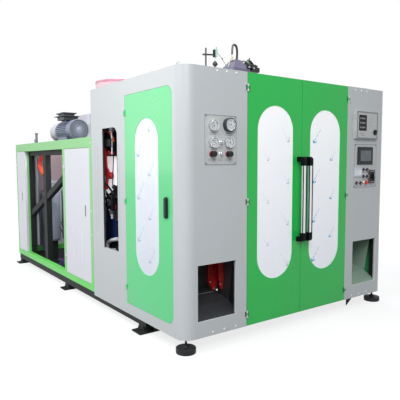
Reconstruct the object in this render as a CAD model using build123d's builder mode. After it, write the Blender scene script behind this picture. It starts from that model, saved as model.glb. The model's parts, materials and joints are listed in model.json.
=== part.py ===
from build123d import *
import os

os.makedirs("parts", exist_ok=True)

# A double-station blow moulding machine, in millimetres.
# X runs to the right along the front, Y runs to the back, and the floor is Z = 0.

# Enclosure
machine_width = 2570
cabinet_depth = 1660
cabinet_height = 2100
enclosure_length = 4420
foot_height = 115
corner_radius = 110
sheet = 3
fold_radius = 5
panel_gap = 2
door_depth = 30
stand_off = 40
pane = 4
pane_lap = 18

# Frames
tube = 60
tube_wall = 4
weld_gap = 0.2
beam_width = 100
beam_top = 145
beam_clearance = 65
beam_inset = 12
beam_start = 600
cross_beams = (beam_start, cabinet_depth - 430, cabinet_depth - 240, cabinet_depth)
rear_cross_beams = (1800, 1270, 860, 100)
cross_beam_width = 80

# Front
fascia_width = 641
front_window_width = 420
front_window_height = 1485
front_window_sill = 365
outlet_width = 385
outlet_height = 449
outlet_sill = 128
outlet_from_edge = 138
outlet_flange = 25
handle_reach = 85
handle_bar = 40
handle_wall = 4
handle_bottom = 745
handle_top = 1340
handle_from_seam = 40
handle_mount = 80

# Cabinet sides
side_door_start = 137
side_door_end = 920
side_door_sill = 96
side_door_head = 1963
side_door_radius = 80
side_window_width = 395
side_window_height = 1318
side_window_sill = 421
slot_start = 1075
slot_end = 1395
slot_sill = 540
slot_head = 1700
slot_radius = 80
slot_chamfer = 42
slot_flange = 20

# Rear section
rear_height = 1635
rear_rail = 105
rear_sill = 30
rear_bottom_rail = 70
rear_post = 60
middle_post_start = 2430
middle_post_end = 2500
bay_end = enclosure_length - 428
rear_corner_post = 50
service_door_sill = 102
service_door_head = 1528
inner_post_width = 100
inner_post_depth = 70

# Hinges
knuckle_radius = 7
knuckle_clear = 1
pin_radius = 3
pin_fit = 0.1
leaf_thickness = 3
front_leaf_width = 26
front_leaf_height = 60
side_leaf_width = 18
side_leaf_height = 50

# Clamps, die head and extruder
station_spacing = 520
clamp_y = 950
platen_width = 440
platen_height = 450
platen_thickness = 60
platen_opening = 450
crosshead_thickness = 50
crosshead_reach = 440
tie_bar_radius = 25
tie_bar_inset = 50
running_fit = 0.1
clamp_bottom = 1000
rail_radius = 30
rail_spread = 660
rail_height = 860
die_radius = 110
die_bottom = 1560
barrel_height = 1900
barrel_radius = 65
feed_y = enclosure_length - 820
hopper_radius = 330
hopper_wall = 3

# Drive
motor_x = 415
motor_start = enclosure_length - 1420
motor_length = 550
motor_radius = 137
shaft_height = 160

# Derived planes
half_width = machine_width / 2
front = (handle_reach - enclosure_length) / 2
cabinet_back = front + cabinet_depth
back = front + enclosure_length
base = foot_height
top = base + cabinet_height
door_span = half_width - fascia_width
rear_top = base + rear_height
clamp_centre_y = front + clamp_y
front_face = Plane(origin=(0, front, base), x_dir=(1, 0, 0), z_dir=(0, -1, 0))
left_face = Plane(origin=(-half_width, front, base), x_dir=(0, 1, 0), z_dir=(1, 0, 0))
left_fascia = Plane(origin=(-half_width, front, base), x_dir=(1, 0, 0), z_dir=(0, -1, 0))
right_fascia = Plane(origin=(door_span, front, base), x_dir=(1, 0, 0), z_dir=(0, -1, 0))


# Shared forms
def block(low, high, mode=Mode.ADD):
    """A box between two opposite corners."""
    middle = tuple((a + b) / 2 for a, b in zip(low, high))
    size = tuple(b - a for a, b in zip(low, high))
    with Locations(middle):
        Box(*size, mode=mode)


def hollow(low, high, wall=tube_wall):
    """A square tube between two corners, open at the ends of its longest side."""
    size = [b - a for a, b in zip(low, high)]
    run = size.index(max(size))
    bore_low = [a if i == run else a + wall for i, a in enumerate(low)]
    bore_high = [b if i == run else b - wall for i, b in enumerate(high)]
    block(low, high)
    block(bore_low, bore_high, mode=Mode.SUBTRACT)


def at(x, y, z):
    """A point given from the left sheet, the front sheet and the lower edge of the sheets."""
    return (x - half_width, front + y, base + z)


def rod(start, end, radius, mode=Mode.ADD):
    """A round bar between two points."""
    axis = Vector(*end) - Vector(*start)
    with BuildSketch(Plane(origin=start, z_dir=axis)) as profile:
        Circle(radius)
    extrude(profile.sketch, amount=axis.length, mode=mode)


def hose(route, radius, bends):
    """A round hose of straight runs joined by arcs."""
    with BuildLine() as path:
        FilletPolyline(*route, radius=bends)
    with BuildSketch(Plane(origin=path.line @ 0, z_dir=path.line % 0)) as profile:
        Circle(radius)
    sweep(profile.sketch, path=path.line)


def flanged_opening(plane, outline, depth):
    """Fold a flange of the given depth round an outline, and open the sheet inside it."""
    with BuildSketch(plane) as profile:
        add(outline)
        offset(amount=sheet, kind=Kind.INTERSECTION)
    extrude(profile.sketch, amount=depth)
    with BuildSketch(plane) as profile:
        add(outline)
    extrude(profile.sketch, amount=depth, mode=Mode.SUBTRACT)


def pan(plane, outline, way):
    """A door folded from one sheet: its face, and a rim turned inwards all round."""
    with BuildSketch(plane) as profile:
        add(outline)
        offset(amount=-panel_gap, kind=Kind.INTERSECTION)
    extrude(profile.sketch, amount=way * door_depth)
    with BuildSketch(plane.offset(way * sheet)) as profile:
        add(outline)
        offset(amount=-panel_gap - sheet, kind=Kind.INTERSECTION)
    extrude(profile.sketch, amount=way * (door_depth - sheet), mode=Mode.SUBTRACT)


def hinge_leaf(seat, width, height, side):
    """Half a hinge on a surface. The seat's x points to the door, y up and z outwards."""
    third = height / 3
    inner = knuckle_radius + knuckle_clear
    pin_height = knuckle_radius + 0.5
    rows = (0,) if side > 0 else (-third, third)
    with Locations(seat):
        with Locations((side * (inner + width) / 2, 0, leaf_thickness / 2)):
            Box(width - inner, height, leaf_thickness)
        for row in rows:
            with Locations((side * inner / 2, row, leaf_thickness / 2)):
                Box(inner, third - 1, leaf_thickness)
            with Locations((0, row, pin_height)):
                Cylinder(knuckle_radius, third - 1, rotation=(90, 0, 0))
        with Locations((0, 0, pin_height)):
            if side > 0:
                Cylinder(pin_radius + pin_fit, height, rotation=(90, 0, 0), mode=Mode.SUBTRACT)
            else:
                Cylinder(pin_radius, height, rotation=(90, 0, 0))


def save(part, name):
    """Label a finished part and write it."""
    part.label = name
    export_step(part, f"parts/{name}.step")


# Outlines on the front and side faces
with BuildSketch() as outlet_outline:
    with Locations((outlet_from_edge - half_width, outlet_sill)):
        Rectangle(outlet_width, outlet_height, align=(Align.MIN, Align.MIN))

with BuildSketch() as front_door_outline:
    with Locations((-door_span, 0)):
        Rectangle(door_span, cabinet_height, align=(Align.MIN, Align.MIN))

with BuildSketch() as side_door_outline:
    with Locations((side_door_start, side_door_sill)):
        Rectangle(
            side_door_end - side_door_start,
            side_door_head - side_door_sill,
            align=(Align.MIN, Align.MIN),
        )
    fillet(vertices().group_by(Axis.X)[0], radius=side_door_radius)

with BuildSketch() as slot_outline:
    with Locations((slot_start, slot_sill)):
        Rectangle(slot_end - slot_start, slot_head - slot_sill, align=(Align.MIN, Align.MIN))
    slot_front = slot_outline.vertices().group_by(Axis.X)[0].sort_by(Axis.Y)
    fillet(slot_front[-1], radius=slot_radius)
    chamfer(slot_front[0], length=slot_chamfer)

with BuildSketch() as front_service_outline:
    with Locations((cabinet_depth + rear_post, service_door_sill)):
        Rectangle(
            middle_post_start - cabinet_depth - rear_post,
            service_door_head - service_door_sill,
            align=(Align.MIN, Align.MIN),
        )

with BuildSketch() as rear_service_outline:
    with Locations((bay_end, service_door_sill)):
        Rectangle(
            enclosure_length - rear_corner_post - bay_end,
            service_door_head - service_door_sill,
            align=(Align.MIN, Align.MIN),
        )


# Base: two long beams and their cross members, on anchor lugs and levelling feet
with BuildPart() as base_frame:
    for side in (-1, 1):
        outer = half_width - beam_inset
        low_x, high_x = sorted((side * outer, side * (outer - beam_width)))
        hollow(
            (low_x, front + beam_start, beam_clearance),
            (high_x, back - beam_inset, beam_top),
        )
    for y in (*cross_beams, *(enclosure_length - y for y in rear_cross_beams)):
        inner = half_width - beam_inset - beam_width - weld_gap
        hollow(
            (-inner, front + y, beam_clearance),
            (inner, front + y + cross_beam_width, beam_top),
        )

lug_spacing = (beam_start + 89, middle_post_end - 3, enclosure_length - 75)
lug_width = 150
lug_reach = 38
lug_depth = 170
lug_plate = 14
anchor_hole = 9
with BuildPart() as anchor_lugs:
    for y in lug_spacing:
        with BuildSketch(Plane.YZ.offset(-half_width - lug_reach)):
            with Locations((front + y, 0)):
                Rectangle(lug_width, lug_plate, align=(Align.CENTER, Align.MIN))
        extrude(amount=lug_depth + lug_reach)
        with BuildSketch(Plane.YZ.offset(-half_width + beam_inset)):
            with BuildLine():
                foot, neck = lug_width / 2 - 5, 38
                l1 = Line((front + y - foot, lug_plate), (front + y + foot, lug_plate))
                l2 = RadiusArc(l1 @ 1, (front + y + neck, beam_clearance), 70)
                l3 = Line(l2 @ 1, (front + y - neck, beam_clearance))
                RadiusArc(l3 @ 1, l1 @ 0, 70)
            make_face()
        extrude(amount=beam_width)
        with Locations((-half_width - lug_reach / 2 + 5, front + y, lug_plate / 2)):
            Hole(anchor_hole, lug_plate)
    mirror(about=Plane.YZ)

foot_inset = 74
foot_radius = 80
foot_pad = 44
foot_spindle = 9
with BuildPart() as levelling_feet:
    with BuildSketch(Plane.XZ.offset(-front - foot_inset)):
        with BuildLine():
            FilletPolyline(
                (half_width - foot_inset, 0),
                (half_width - foot_inset - foot_radius, 0),
                (half_width - foot_inset - foot_radius, foot_pad),
                (half_width - foot_inset - 30, foot_pad + 4),
                radius=5,
            )
            Polyline(
                (half_width - foot_inset - 30, foot_pad + 4),
                (half_width - foot_inset - 16, foot_pad + 20),
                (half_width - foot_inset - foot_spindle, foot_pad + 24),
                (half_width - foot_inset - foot_spindle, beam_top - 16),
                (half_width - foot_inset - 34, beam_top - 16),
                (half_width - foot_inset - 34, beam_top),
                (half_width - foot_inset, beam_top),
                (half_width - foot_inset, 0),
            )
        make_face()
    revolve(axis=Axis((half_width - foot_inset, front + foot_inset, 0), (0, 0, 1)))
    mirror(about=Plane.YZ)


# Cabinet frame: rings at the bottom and top, posts between them, beams for the die head
ring_low = (beam_top, beam_top + tube)
arm_height = 824
ring_high = (top - sheet - tube, top - sheet)
post_low = ring_low[1] + weld_gap
post_high = ring_high[0] - weld_gap
frame_x = half_width - stand_off - tube
frame_front = front + stand_off
frame_back = cabinet_back - stand_off - tube
side_post_y = front + side_door_end + 47
slot_arm_low = base + 1530
die_beam_x = 200
gusset_y = frame_front + tube + weld_gap
gusset_thickness = 6
with BuildPart() as cabinet_frame:
    for low_z, high_z in (ring_low, ring_high):
        for y in (frame_front, frame_back):
            hollow((-frame_x - tube, y, low_z), (frame_x + tube, y + tube, high_z))
        for x in (-frame_x - tube, frame_x):
            start = frame_front + tube + weld_gap
            hollow((x, start, low_z), (x + tube, frame_back - weld_gap, high_z))
    for x in (-frame_x - tube, frame_x):
        for y in (frame_front, side_post_y, frame_back):
            hollow((x, y, post_low), (x + tube, y + tube, post_high))
    for x in (-door_span - tube - 6, door_span + 6):
        hollow((x, frame_front, post_low), (x + tube, frame_front + tube, post_high))
    for x in (-die_beam_x - tube, die_beam_x):
        start = frame_front + tube + weld_gap
        hollow((x, start, ring_high[0]), (x + tube, frame_back - weld_gap, ring_high[1]))
    for x in (-door_span - tube - 6, door_span + 6):
        start = frame_front + tube + weld_gap
        hollow((x, start, base + arm_height), (x + tube, front + 430, base + arm_height + tube))
    for x in (-frame_x - tube + 5, frame_x + 5):
        hollow(
            (x, cabinet_back - 350, slot_arm_low),
            (x + tube - 10, frame_back - weld_gap, slot_arm_low + 70),
        )
    with BuildSketch(Plane.XZ.offset(-gusset_y - gusset_thickness)):
        with BuildLine():
            Polyline(
                (half_width - 470, 4),
                (half_width - 470, ring_low[1] - 5),
                (half_width - 205, ring_low[1] - 5),
                close=True,
            )
        make_face()
    extrude(amount=gusset_thickness)

# Cabinet skins: one folded sheet round each front corner
with BuildPart() as left_cabinet_panel:
    with BuildSketch(Plane.XY.offset(base)):
        with BuildLine():
            FilletPolyline(
                (-door_span, front + stand_off),
                (-door_span, front),
                (-half_width, front),
                (-half_width, cabinet_back),
                (-half_width + stand_off + tube, cabinet_back),
                radius=(fold_radius, corner_radius, fold_radius),
            )
            offset(amount=sheet, side=Side.RIGHT)
        make_face()
    extrude(amount=cabinet_height)
    flanged_opening(front_face, outlet_outline.sketch, -outlet_flange)
    flanged_opening(left_face, side_door_outline.sketch, stand_off)
    flanged_opening(left_face, slot_outline.sketch, slot_flange)
    block(
        (-half_width + beam_inset - 5, cabinet_back - stand_off, base),
        (-half_width + stand_off + tube, cabinet_back, beam_top + 5),
        mode=Mode.SUBTRACT,
    )

with BuildPart() as right_cabinet_panel:
    mirror(left_cabinet_panel.part, about=Plane.YZ)

roof_opening_width = 2 * (die_beam_x + tube) + 40
roof_opening = (front + 500, cabinet_back - 260)
lifting_lugs = (200, cabinet_depth - 200)
with BuildPart() as roof_panel:
    with BuildSketch(Plane.XY.offset(top - sheet)):
        inner = half_width - sheet
        with Locations((0, front + sheet)):
            Rectangle(2 * inner, cabinet_depth - 2 * sheet, align=(Align.CENTER, Align.MIN))
        fillet(vertices().group_by(Axis.Y)[0], radius=corner_radius - sheet)
        chamfer(vertices().group_by(Axis.Y)[-1], length=fold_radius)
        with Locations((0, front)):
            Rectangle(
                2 * (door_span + sheet + fold_radius),
                stand_off,
                align=(Align.CENTER, Align.MIN),
                mode=Mode.SUBTRACT,
            )
        with Locations((0, (roof_opening[0] + roof_opening[1]) / 2)):
            RectangleRounded(
                roof_opening_width, roof_opening[1] - roof_opening[0], 20, mode=Mode.SUBTRACT
            )
    extrude(amount=sheet)
    ring_middle = (roof_opening[0] + roof_opening[1]) / 2
    with BuildSketch(Plane.XY.offset(top - sheet)):
        with Locations((0, ring_middle)):
            RectangleRounded(roof_opening_width, roof_opening[1] - roof_opening[0], 20)
            offset(amount=-sheet, mode=Mode.SUBTRACT)
    extrude(amount=stand_off)
    for y in lifting_lugs:
        with BuildSketch(Plane.YZ.offset(-half_width + 90)):
            with BuildLine():
                Polyline(
                    (front + y - 45, top), (front + y - 14, top + 50), (front + y + 14, top + 50),
                    (front + y + 45, top), close=True,
                )
            make_face()
            with Locations((front + y, top + 30)):
                Circle(10, mode=Mode.SUBTRACT)
        extrude(amount=12)
        mirror(about=Plane.YZ)


# Rear section: green frame of heavy square tubes round the extruder's base
rail_low = (base + rear_sill, base + rear_sill + rear_bottom_rail)
rail_high = (rear_top - rear_rail, rear_top)
jamb_inset = door_depth + panel_gap
rear_posts = (
    (cabinet_depth, cabinet_depth + rear_post, 0, rear_post),
    (middle_post_start, middle_post_end, 0, rear_post),
    (bay_end + 4, bay_end + 4 + rear_post, jamb_inset, rear_post - jamb_inset),
)
with BuildPart() as rear_frame:
    for low_z, high_z in (rail_low, rail_high):
        start, end = cabinet_back + weld_gap, back - rear_corner_post - weld_gap
        hollow((-half_width, start, low_z), (-half_width + rear_post, end, high_z))
        inner = half_width - rear_post - weld_gap
        hollow((-inner, back - rear_corner_post, low_z), (inner, back, high_z))
        hollow((-inner, start, low_z), (inner, start + rear_post, high_z))
    for start, end, inset, depth in rear_posts:
        low = (-half_width + inset, front + start + weld_gap, rail_low[1] + weld_gap)
        high = (-half_width + inset + depth, front + end, rail_high[0] - weld_gap)
        hollow(low, high)
    hollow(
        (-half_width, back - rear_corner_post, rail_low[0]),
        (-half_width + rear_post, back, rear_top),
    )
    mirror(about=Plane.YZ)

# Dark inner frame: posts, rails and braces that carry the extruder's deck
inner_x = half_width - rear_post - inner_post_depth - weld_gap
deck_beams = (cabinet_depth + 240, *(enclosure_length - y for y in (1290, 980, 640, 320)))
inner_posts = tuple(enclosure_length - y for y in (1860, 1139, 460))
braces = ((0, 1240, 970), (1, 940, 700))
brace_width = 80
accumulator_places = ((258, feed_y), (470, feed_y))
accumulator_foot = 290
with BuildPart() as inner_frame:
    for y in inner_posts:
        low = (-inner_x - inner_post_depth, front + y, beam_top + weld_gap)
        high = (-inner_x, front + y + inner_post_width, rear_top - rear_rail - tube)
        hollow(low, high)
    low = (-inner_x - inner_post_depth, back - 2120, rear_top - rear_rail - tube + weld_gap)
    high = (-inner_x, back - 220, rear_top - rear_rail)
    hollow(low, high)
    for i, start_z, end_z in braces:
        start = front + inner_posts[i] + inner_post_width + weld_gap
        end = front + inner_posts[i + 1] - weld_gap
        with BuildSketch(Plane.YZ.offset(-inner_x - inner_post_depth + 5)):
            with BuildLine():
                Polyline(
                    (start, base + start_z),
                    (end, base + end_z),
                    (end, base + end_z - brace_width),
                    (start, base + start_z - brace_width),
                    close=True,
                )
            make_face()
        extrude(amount=inner_post_depth - 10)
    mirror(about=Plane.YZ)
    for y in deck_beams:
        inner = half_width - rear_post - weld_gap
        low_z = rear_top - rear_rail + weld_gap
        hollow((-inner, front + y, low_z), (inner, front + y + 100, rear_top))
    for x, y in accumulator_places:
        hollow(at(x - 40, y - 40, beam_top - base + weld_gap), at(x + 40, y + 40, accumulator_foot))

# Fixed panels: the cabinet's back above the rear section, the rear end and the right side
end_panel = (-half_width + rear_post, half_width - rear_post)
with BuildPart() as rear_panels:
    block(
        (end_panel[0], back - rear_corner_post / 2, rail_low[1]),
        (end_panel[1], back - rear_corner_post / 2 + sheet, rail_high[0]),
    )
    for start, end in (
        (cabinet_depth + rear_post, middle_post_start),
        (middle_post_end, enclosure_length - rear_corner_post),
    ):
        block(
            (half_width - 20, front + start, rail_low[1]),
            (half_width - 20 + sheet, front + end, rail_high[0]),
        )
    with BuildSketch(Plane.XZ.offset(-cabinet_back)):
        low = rear_top
        with Locations((0, low)):
            Rectangle(2 * frame_x, top - sheet - low, align=(Align.CENTER, Align.MIN))
        with Locations((0, base + barrel_height)):
            Circle(barrel_radius + 60, mode=Mode.SUBTRACT)
        with Locations((0, top)):
            Rectangle(
                2 * (barrel_radius + 60), 2 * (top - base - barrel_height), mode=Mode.SUBTRACT
            )
    extrude(amount=sheet)


# Front doors: folded pans with a stadium window, hinged at the fascias
def front_seat(x, z):
    """Where a front hinge sits, with the door to its right."""
    return Plane(origin=(x, front, base + z), x_dir=(1, 0, 0), z_dir=(0, -1, 0))


front_hinge_heights = (105, 1048, 1975)
front_window_middle = (-door_span / 2, front_window_sill + front_window_height / 2)
with BuildPart() as front_door_left:
    pan(front_face, front_door_outline.sketch, -1)
    with BuildSketch(front_face):
        with Locations(front_window_middle):
            SlotOverall(front_window_height, front_window_width, rotation=90)
    extrude(amount=-sheet, mode=Mode.SUBTRACT)
    for z in front_hinge_heights:
        hinge_leaf(front_seat(-door_span, z), front_leaf_width, front_leaf_height, 1)

with BuildPart() as front_door_right:
    mirror(front_door_left.part, about=Plane.YZ)

with BuildPart() as front_window_left:
    with BuildSketch(front_face.offset(-sheet)):
        with Locations(front_window_middle):
            SlotOverall(
                front_window_height + 2 * pane_lap, front_window_width + 2 * pane_lap, rotation=90
            )
    extrude(amount=-pane)

with BuildPart() as front_window_right:
    mirror(front_window_left.part, about=Plane.YZ)

# Handles: an aluminium tube between two elbow mounts
bar_y = front - handle_reach + handle_bar / 2
mount_half = 20
with BuildPart() as handle_left:
    rod(
        (-handle_from_seam, bar_y, base + handle_bottom),
        (-handle_from_seam, bar_y, base + handle_top),
        handle_bar / 2,
    )
    rod(
        (-handle_from_seam, bar_y, base + handle_bottom),
        (-handle_from_seam, bar_y, base + handle_top),
        handle_bar / 2 - handle_wall,
        mode=Mode.SUBTRACT,
    )
    for end, way in ((handle_top, 1), (handle_bottom, -1)):
        with BuildSketch(Plane.YZ.offset(-handle_from_seam - mount_half)):
            seat = base + end + way * weld_gap
            with BuildLine():
                FilletPolyline(
                    (front, seat + way * handle_mount),
                    (front - handle_reach, seat + way * handle_mount),
                    (front - handle_reach, seat),
                    (bar_y + handle_bar / 2, seat),
                    (bar_y + handle_bar / 2, seat + way * (handle_mount - 40)),
                    (front, seat + way * (handle_mount - 40)),
                    radius=(28, 0, 0, 10),
                )
                Line(
                    (front, seat + way * (handle_mount - 40)), (front, seat + way * handle_mount)
                )
            make_face()
        extrude(amount=2 * mount_half)

with BuildPart() as handle_right:
    mirror(handle_left.part, about=Plane.YZ)


# Side doors and service doors
def side_seat(y, z):
    """Where a hinge sits on the left side, with the door in front of it."""
    return Plane(origin=at(0, y, z), x_dir=(0, -1, 0), z_dir=(-1, 0, 0))


lock_y = 223
lock_z = 1075
lock_length = 150
lock_width = 38
spindle_radius = 8
spindle_fit = 0.3
side_window_middle = (
    (side_door_start + side_door_end) / 2 + 14,
    side_window_sill + side_window_height / 2,
)
side_hinge_heights = (250, 1030, 1810)
with BuildPart() as side_door_left:
    pan(left_face, side_door_outline.sketch, 1)
    with BuildSketch(left_face):
        with Locations(side_window_middle):
            SlotOverall(side_window_height, side_window_width, rotation=90)
        with Locations((lock_y, lock_z)):
            Circle(spindle_radius + spindle_fit)
    extrude(amount=sheet, mode=Mode.SUBTRACT)
    for z in side_hinge_heights:
        hinge_leaf(side_seat(side_door_end, z), side_leaf_width, side_leaf_height, 1)

with BuildPart() as side_door_right:
    mirror(side_door_left.part, about=Plane.YZ)

with BuildPart() as side_window_left:
    with BuildSketch(left_face.offset(sheet)):
        with Locations(side_window_middle):
            SlotOverall(
                side_window_height + 2 * pane_lap, side_window_width + 2 * pane_lap, rotation=90
            )
    extrude(amount=pane)

with BuildPart() as side_window_right:
    mirror(side_window_left.part, about=Plane.YZ)

lock_lift = 0.3
lock_thickness = 22
with BuildPart() as side_lock_left:
    with BuildSketch(left_face.offset(-lock_lift)):
        with Locations((lock_y, lock_z - lock_length / 2 + lock_width / 2)):
            SlotOverall(lock_length + lock_width / 2, lock_width, rotation=90)
    extrude(amount=-lock_thickness)
    chamfer(faces().sort_by(Axis.X)[0].edges(), length=6)
    with BuildSketch(left_face.offset(-lock_lift)):
        with Locations((lock_y, lock_z)):
            Circle(spindle_radius)
    extrude(amount=door_depth)
    with BuildSketch(left_face.offset(sheet + 1)):
        with Locations((lock_y, lock_z)):
            RegularPolygon(16, 6)
    extrude(amount=12)

with BuildPart() as side_lock_right:
    mirror(side_lock_left.part, about=Plane.YZ)

grip_width = 26
grip_height = 135


def service_door(outline, hinge_y, grip):
    """A flush service door with a sunk grip, in the part being built."""
    pan(left_face, outline, 1)
    with BuildSketch(left_face) as profile:
        with Locations(grip):
            SlotOverall(grip_height + 2 * sheet, grip_width + 2 * sheet, rotation=90)
    extrude(profile.sketch, amount=14)
    with BuildSketch(left_face) as profile:
        with Locations(grip):
            SlotOverall(grip_height, grip_width, rotation=90)
    extrude(profile.sketch, amount=14 - sheet, mode=Mode.SUBTRACT)
    for z in (300, 1330):
        hinge_leaf(side_seat(hinge_y, z), side_leaf_width, side_leaf_height, 1)


with BuildPart() as service_door_front:
    service_door(front_service_outline.sketch, middle_post_start, (1845, 862))

with BuildPart() as service_door_rear:
    service_door(
        rear_service_outline.sketch, enclosure_length - rear_corner_post, (bay_end + 163, 885)
    )

# Leaves on the frame side of every hinge
with BuildPart() as hinge_leaves:
    for z in front_hinge_heights:
        hinge_leaf(front_seat(-door_span, z), front_leaf_width, front_leaf_height, -1)
    for z in side_hinge_heights:
        hinge_leaf(side_seat(side_door_end, z), side_leaf_width, side_leaf_height, -1)
    mirror(about=Plane.YZ)
    for hinge_y in (middle_post_start, enclosure_length - rear_corner_post):
        for z in (300, 1330):
            hinge_leaf(side_seat(hinge_y, z), side_leaf_width, side_leaf_height, -1)


# Gauge panel with its four gauges, two valves and two regulators
gauge_panel_x = (204, 518)
gauge_panel_z = (1355, 1738)
gauge_panel_thickness = 4
gauges = ((282, 1656, 42), (435, 1666, 54), (282, 1526, 42), (436, 1529, 42))
gauge_rim = 5
valves = ((358, 1531), (355, 1442))
valve_body = 22
regulators = ((270, 1438), (430, 1438))
regulator_radius = 22
regulator_length = 50
regulator_lift = 0.3
gauge_seat = left_fascia.offset(gauge_panel_thickness)


def raised(seat, x_range, z_range, height, radius=3, mode=Mode.ADD):
    """A rounded rectangle raised on a fascia's plane, in the part being built."""
    with BuildSketch(seat) as profile:
        with Locations((sum(x_range) / 2, sum(z_range) / 2)):
            RectangleRounded(x_range[1] - x_range[0], z_range[1] - z_range[0], radius)
    extrude(profile.sketch, amount=height, mode=mode)


def button(seat, place, radius, height, mode=Mode.ADD):
    """A round form raised on a fascia's plane, in the part being built."""
    with BuildSketch(seat) as profile:
        with Locations(place):
            Circle(radius)
    extrude(profile.sketch, amount=height, mode=mode)


with BuildPart() as gauge_panel:
    raised(left_fascia, gauge_panel_x, gauge_panel_z, gauge_panel_thickness, 8)

with BuildPart() as pressure_gauges:
    for x, z, radius in gauges:
        button(gauge_seat, (x, z), radius, radius * 0.7)
        button(gauge_seat.offset(radius * 0.7), (x, z), radius * 0.86, -gauge_rim, Mode.SUBTRACT)
    for place in valves:
        button(gauge_seat, place, valve_body / 2, valve_body)
        with BuildSketch(gauge_seat.offset(valve_body)):
            with Locations(place):
                RegularPolygon(9, 6)
        extrude(amount=12)


def regulator(place):
    """A regulator knob with a collar and a fluted grip, in the part being built."""
    button(gauge_seat.offset(regulator_lift), place, regulator_radius, regulator_length)
    chamfer(faces().sort_by(Axis.Y)[0].edges(), length=3)
    with BuildSketch(gauge_seat.offset(regulator_lift + 16)) as profile:
        with Locations(place):
            with PolarLocations(regulator_radius + 1.5, 12):
                Circle(3)
    extrude(profile.sketch, amount=regulator_length, mode=Mode.SUBTRACT)


with BuildPart() as regulator_left:
    regulator(regulators[0])

with BuildPart() as regulator_right:
    regulator(regulators[1])


# Control panel: screen, meter, selectors, breaker and emergency stop
panel_x = (109, 471)
panel_z = (1118, 1549)
panel_thickness = 4
panel_seat = right_fascia.offset(panel_thickness)
screen_x = (157, 401)
screen_z = (1346, 1521)
meter_height = 12
breaker_height = 14
selectors = ((260, 1294), (318, 1293), (263, 1225), (321, 1224), (151, 1163), (216, 1161))
selector_base = 7
stop_button = (290, 1165)
stop_collar = 6
stop_stem = 9
stop_fit = 0.3
stop_travel = 6
stop_engagement = 2
with BuildPart() as control_panel:
    raised(right_fascia, panel_x, panel_z, panel_thickness, 8)
    raised(panel_seat, (116, 224), (1227, 1307), meter_height, 4)
    raised(panel_seat.offset(meter_height), (127, 213), (1245, 1295), -2, 2, Mode.SUBTRACT)
    raised(panel_seat, (346, 436), (1156, 1290), breaker_height, 4)
    for place in selectors:
        button(panel_seat, place, 15, selector_base)
        with BuildSketch(panel_seat.offset(selector_base)):
            with Locations(place):
                SlotOverall(26, 8, rotation=60)
        extrude(amount=14)
    button(panel_seat, stop_button, 18, stop_collar)
    button(
        panel_seat.offset(stop_collar),
        stop_button,
        stop_stem + stop_fit,
        -stop_collar - panel_thickness + 1,
        Mode.SUBTRACT,
    )

with BuildPart() as touch_screen:
    raised(panel_seat, screen_x, screen_z, 8, 6)
    raised(panel_seat.offset(8), (202, 376), (1381, 1487), -2, 2, Mode.SUBTRACT)

stop_base = panel_seat.offset(stop_collar + stop_travel + 1)
with BuildPart() as emergency_stop:
    button(stop_base, stop_button, 20, 14)
    fillet(faces().sort_by(Axis.Y)[0].edges(), radius=6)
    button(stop_base, stop_button, stop_stem, -stop_travel - 1 - stop_engagement)

breaker_pivot = (391, 1223)
breaker_seat = panel_seat.offset(breaker_height + 0.3)
with BuildPart() as breaker_handle:
    button(breaker_seat, breaker_pivot, 24, 10)
    with BuildSketch(breaker_seat.offset(10)):
        with Locations(breaker_pivot):
            SlotOverall(60, 14, rotation=90)
    extrude(amount=16)


# Electrical box: a tray on the fascia with a hinged door and a turning lock
flange_x = (93, 471)
flange_z = (1592, 1883)
box_x = (98, 433)
box_z = (1600, 1868)
box_depth = 32
box_door_thickness = 8
box_door_gap = 0.3
box_window_x = (139, 253)
box_window_z = (1684, 1830)
box_lock_at = (396, 1668)
lock_knob_radius = 28
box_seat = right_fascia.offset(box_depth)
box_rim = right_fascia.offset(box_depth - box_door_thickness - box_door_gap)
box_hinge_heights = (1648, 1820)
box_knuckle = 4
box_knuckle_length = 14
box_pin = 2
box_pin_at = (door_span + box_x[0] - box_knuckle - box_door_gap, front - box_depth + box_knuckle)


def box_pin_rod(low, high, radius, mode=Mode.ADD):
    """A rod on the box door's hinge line, in the part being built."""
    rod((*box_pin_at, base + low), (*box_pin_at, base + high), radius, mode)


with BuildPart() as electrical_box:
    raised(right_fascia, flange_x, flange_z, sheet, 6)
    raised(right_fascia, box_x, box_z, box_depth - box_door_thickness - box_door_gap, 4)
    raised(
        box_rim,
        (box_x[0] + sheet, box_x[1] - sheet),
        (box_z[0] + sheet, box_z[1] - sheet),
        -(box_depth - box_door_thickness - box_door_gap - sheet),
        2,
        Mode.SUBTRACT,
    )
    for z in box_hinge_heights:
        for low in (z - 1.5 * box_knuckle_length, z + 0.5 * box_knuckle_length + 0.5):
            high = low + box_knuckle_length - 0.5
            box_pin_rod(low, high, box_knuckle)
            block(
                (box_pin_at[0] - box_knuckle + 0.5, box_pin_at[1] + 2, base + low),
                (box_pin_at[0] + box_knuckle - 0.5, box_pin_at[1] + 14, base + high),
            )
            block(
                (box_pin_at[0] + box_knuckle - 1, box_pin_at[1] + box_knuckle + 0.5, base + low),
                (box_pin_at[0] + box_knuckle + 2, box_pin_at[1] + 14, base + high),
            )
        box_pin_rod(z - 1.5 * box_knuckle_length, z + 1.5 * box_knuckle_length, box_pin)

with BuildPart() as box_door:
    raised(box_seat, box_x, box_z, -box_door_thickness, 4)
    raised(box_seat, box_window_x, box_window_z, -2, 3, Mode.SUBTRACT)
    button(
        box_seat, box_lock_at, spindle_radius + spindle_fit, -box_door_thickness, Mode.SUBTRACT
    )
    for z in box_hinge_heights:
        low, high = z - 0.5 * box_knuckle_length + 0.5, z + 0.5 * box_knuckle_length
        box_pin_rod(low, high, box_knuckle)
        block(
            (box_pin_at[0], box_pin_at[1] - box_knuckle, base + low),
            (box_pin_at[0] + box_knuckle + 2, box_pin_at[1], base + high),
        )
        box_pin_rod(low, high, box_pin + pin_fit, Mode.SUBTRACT)

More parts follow.
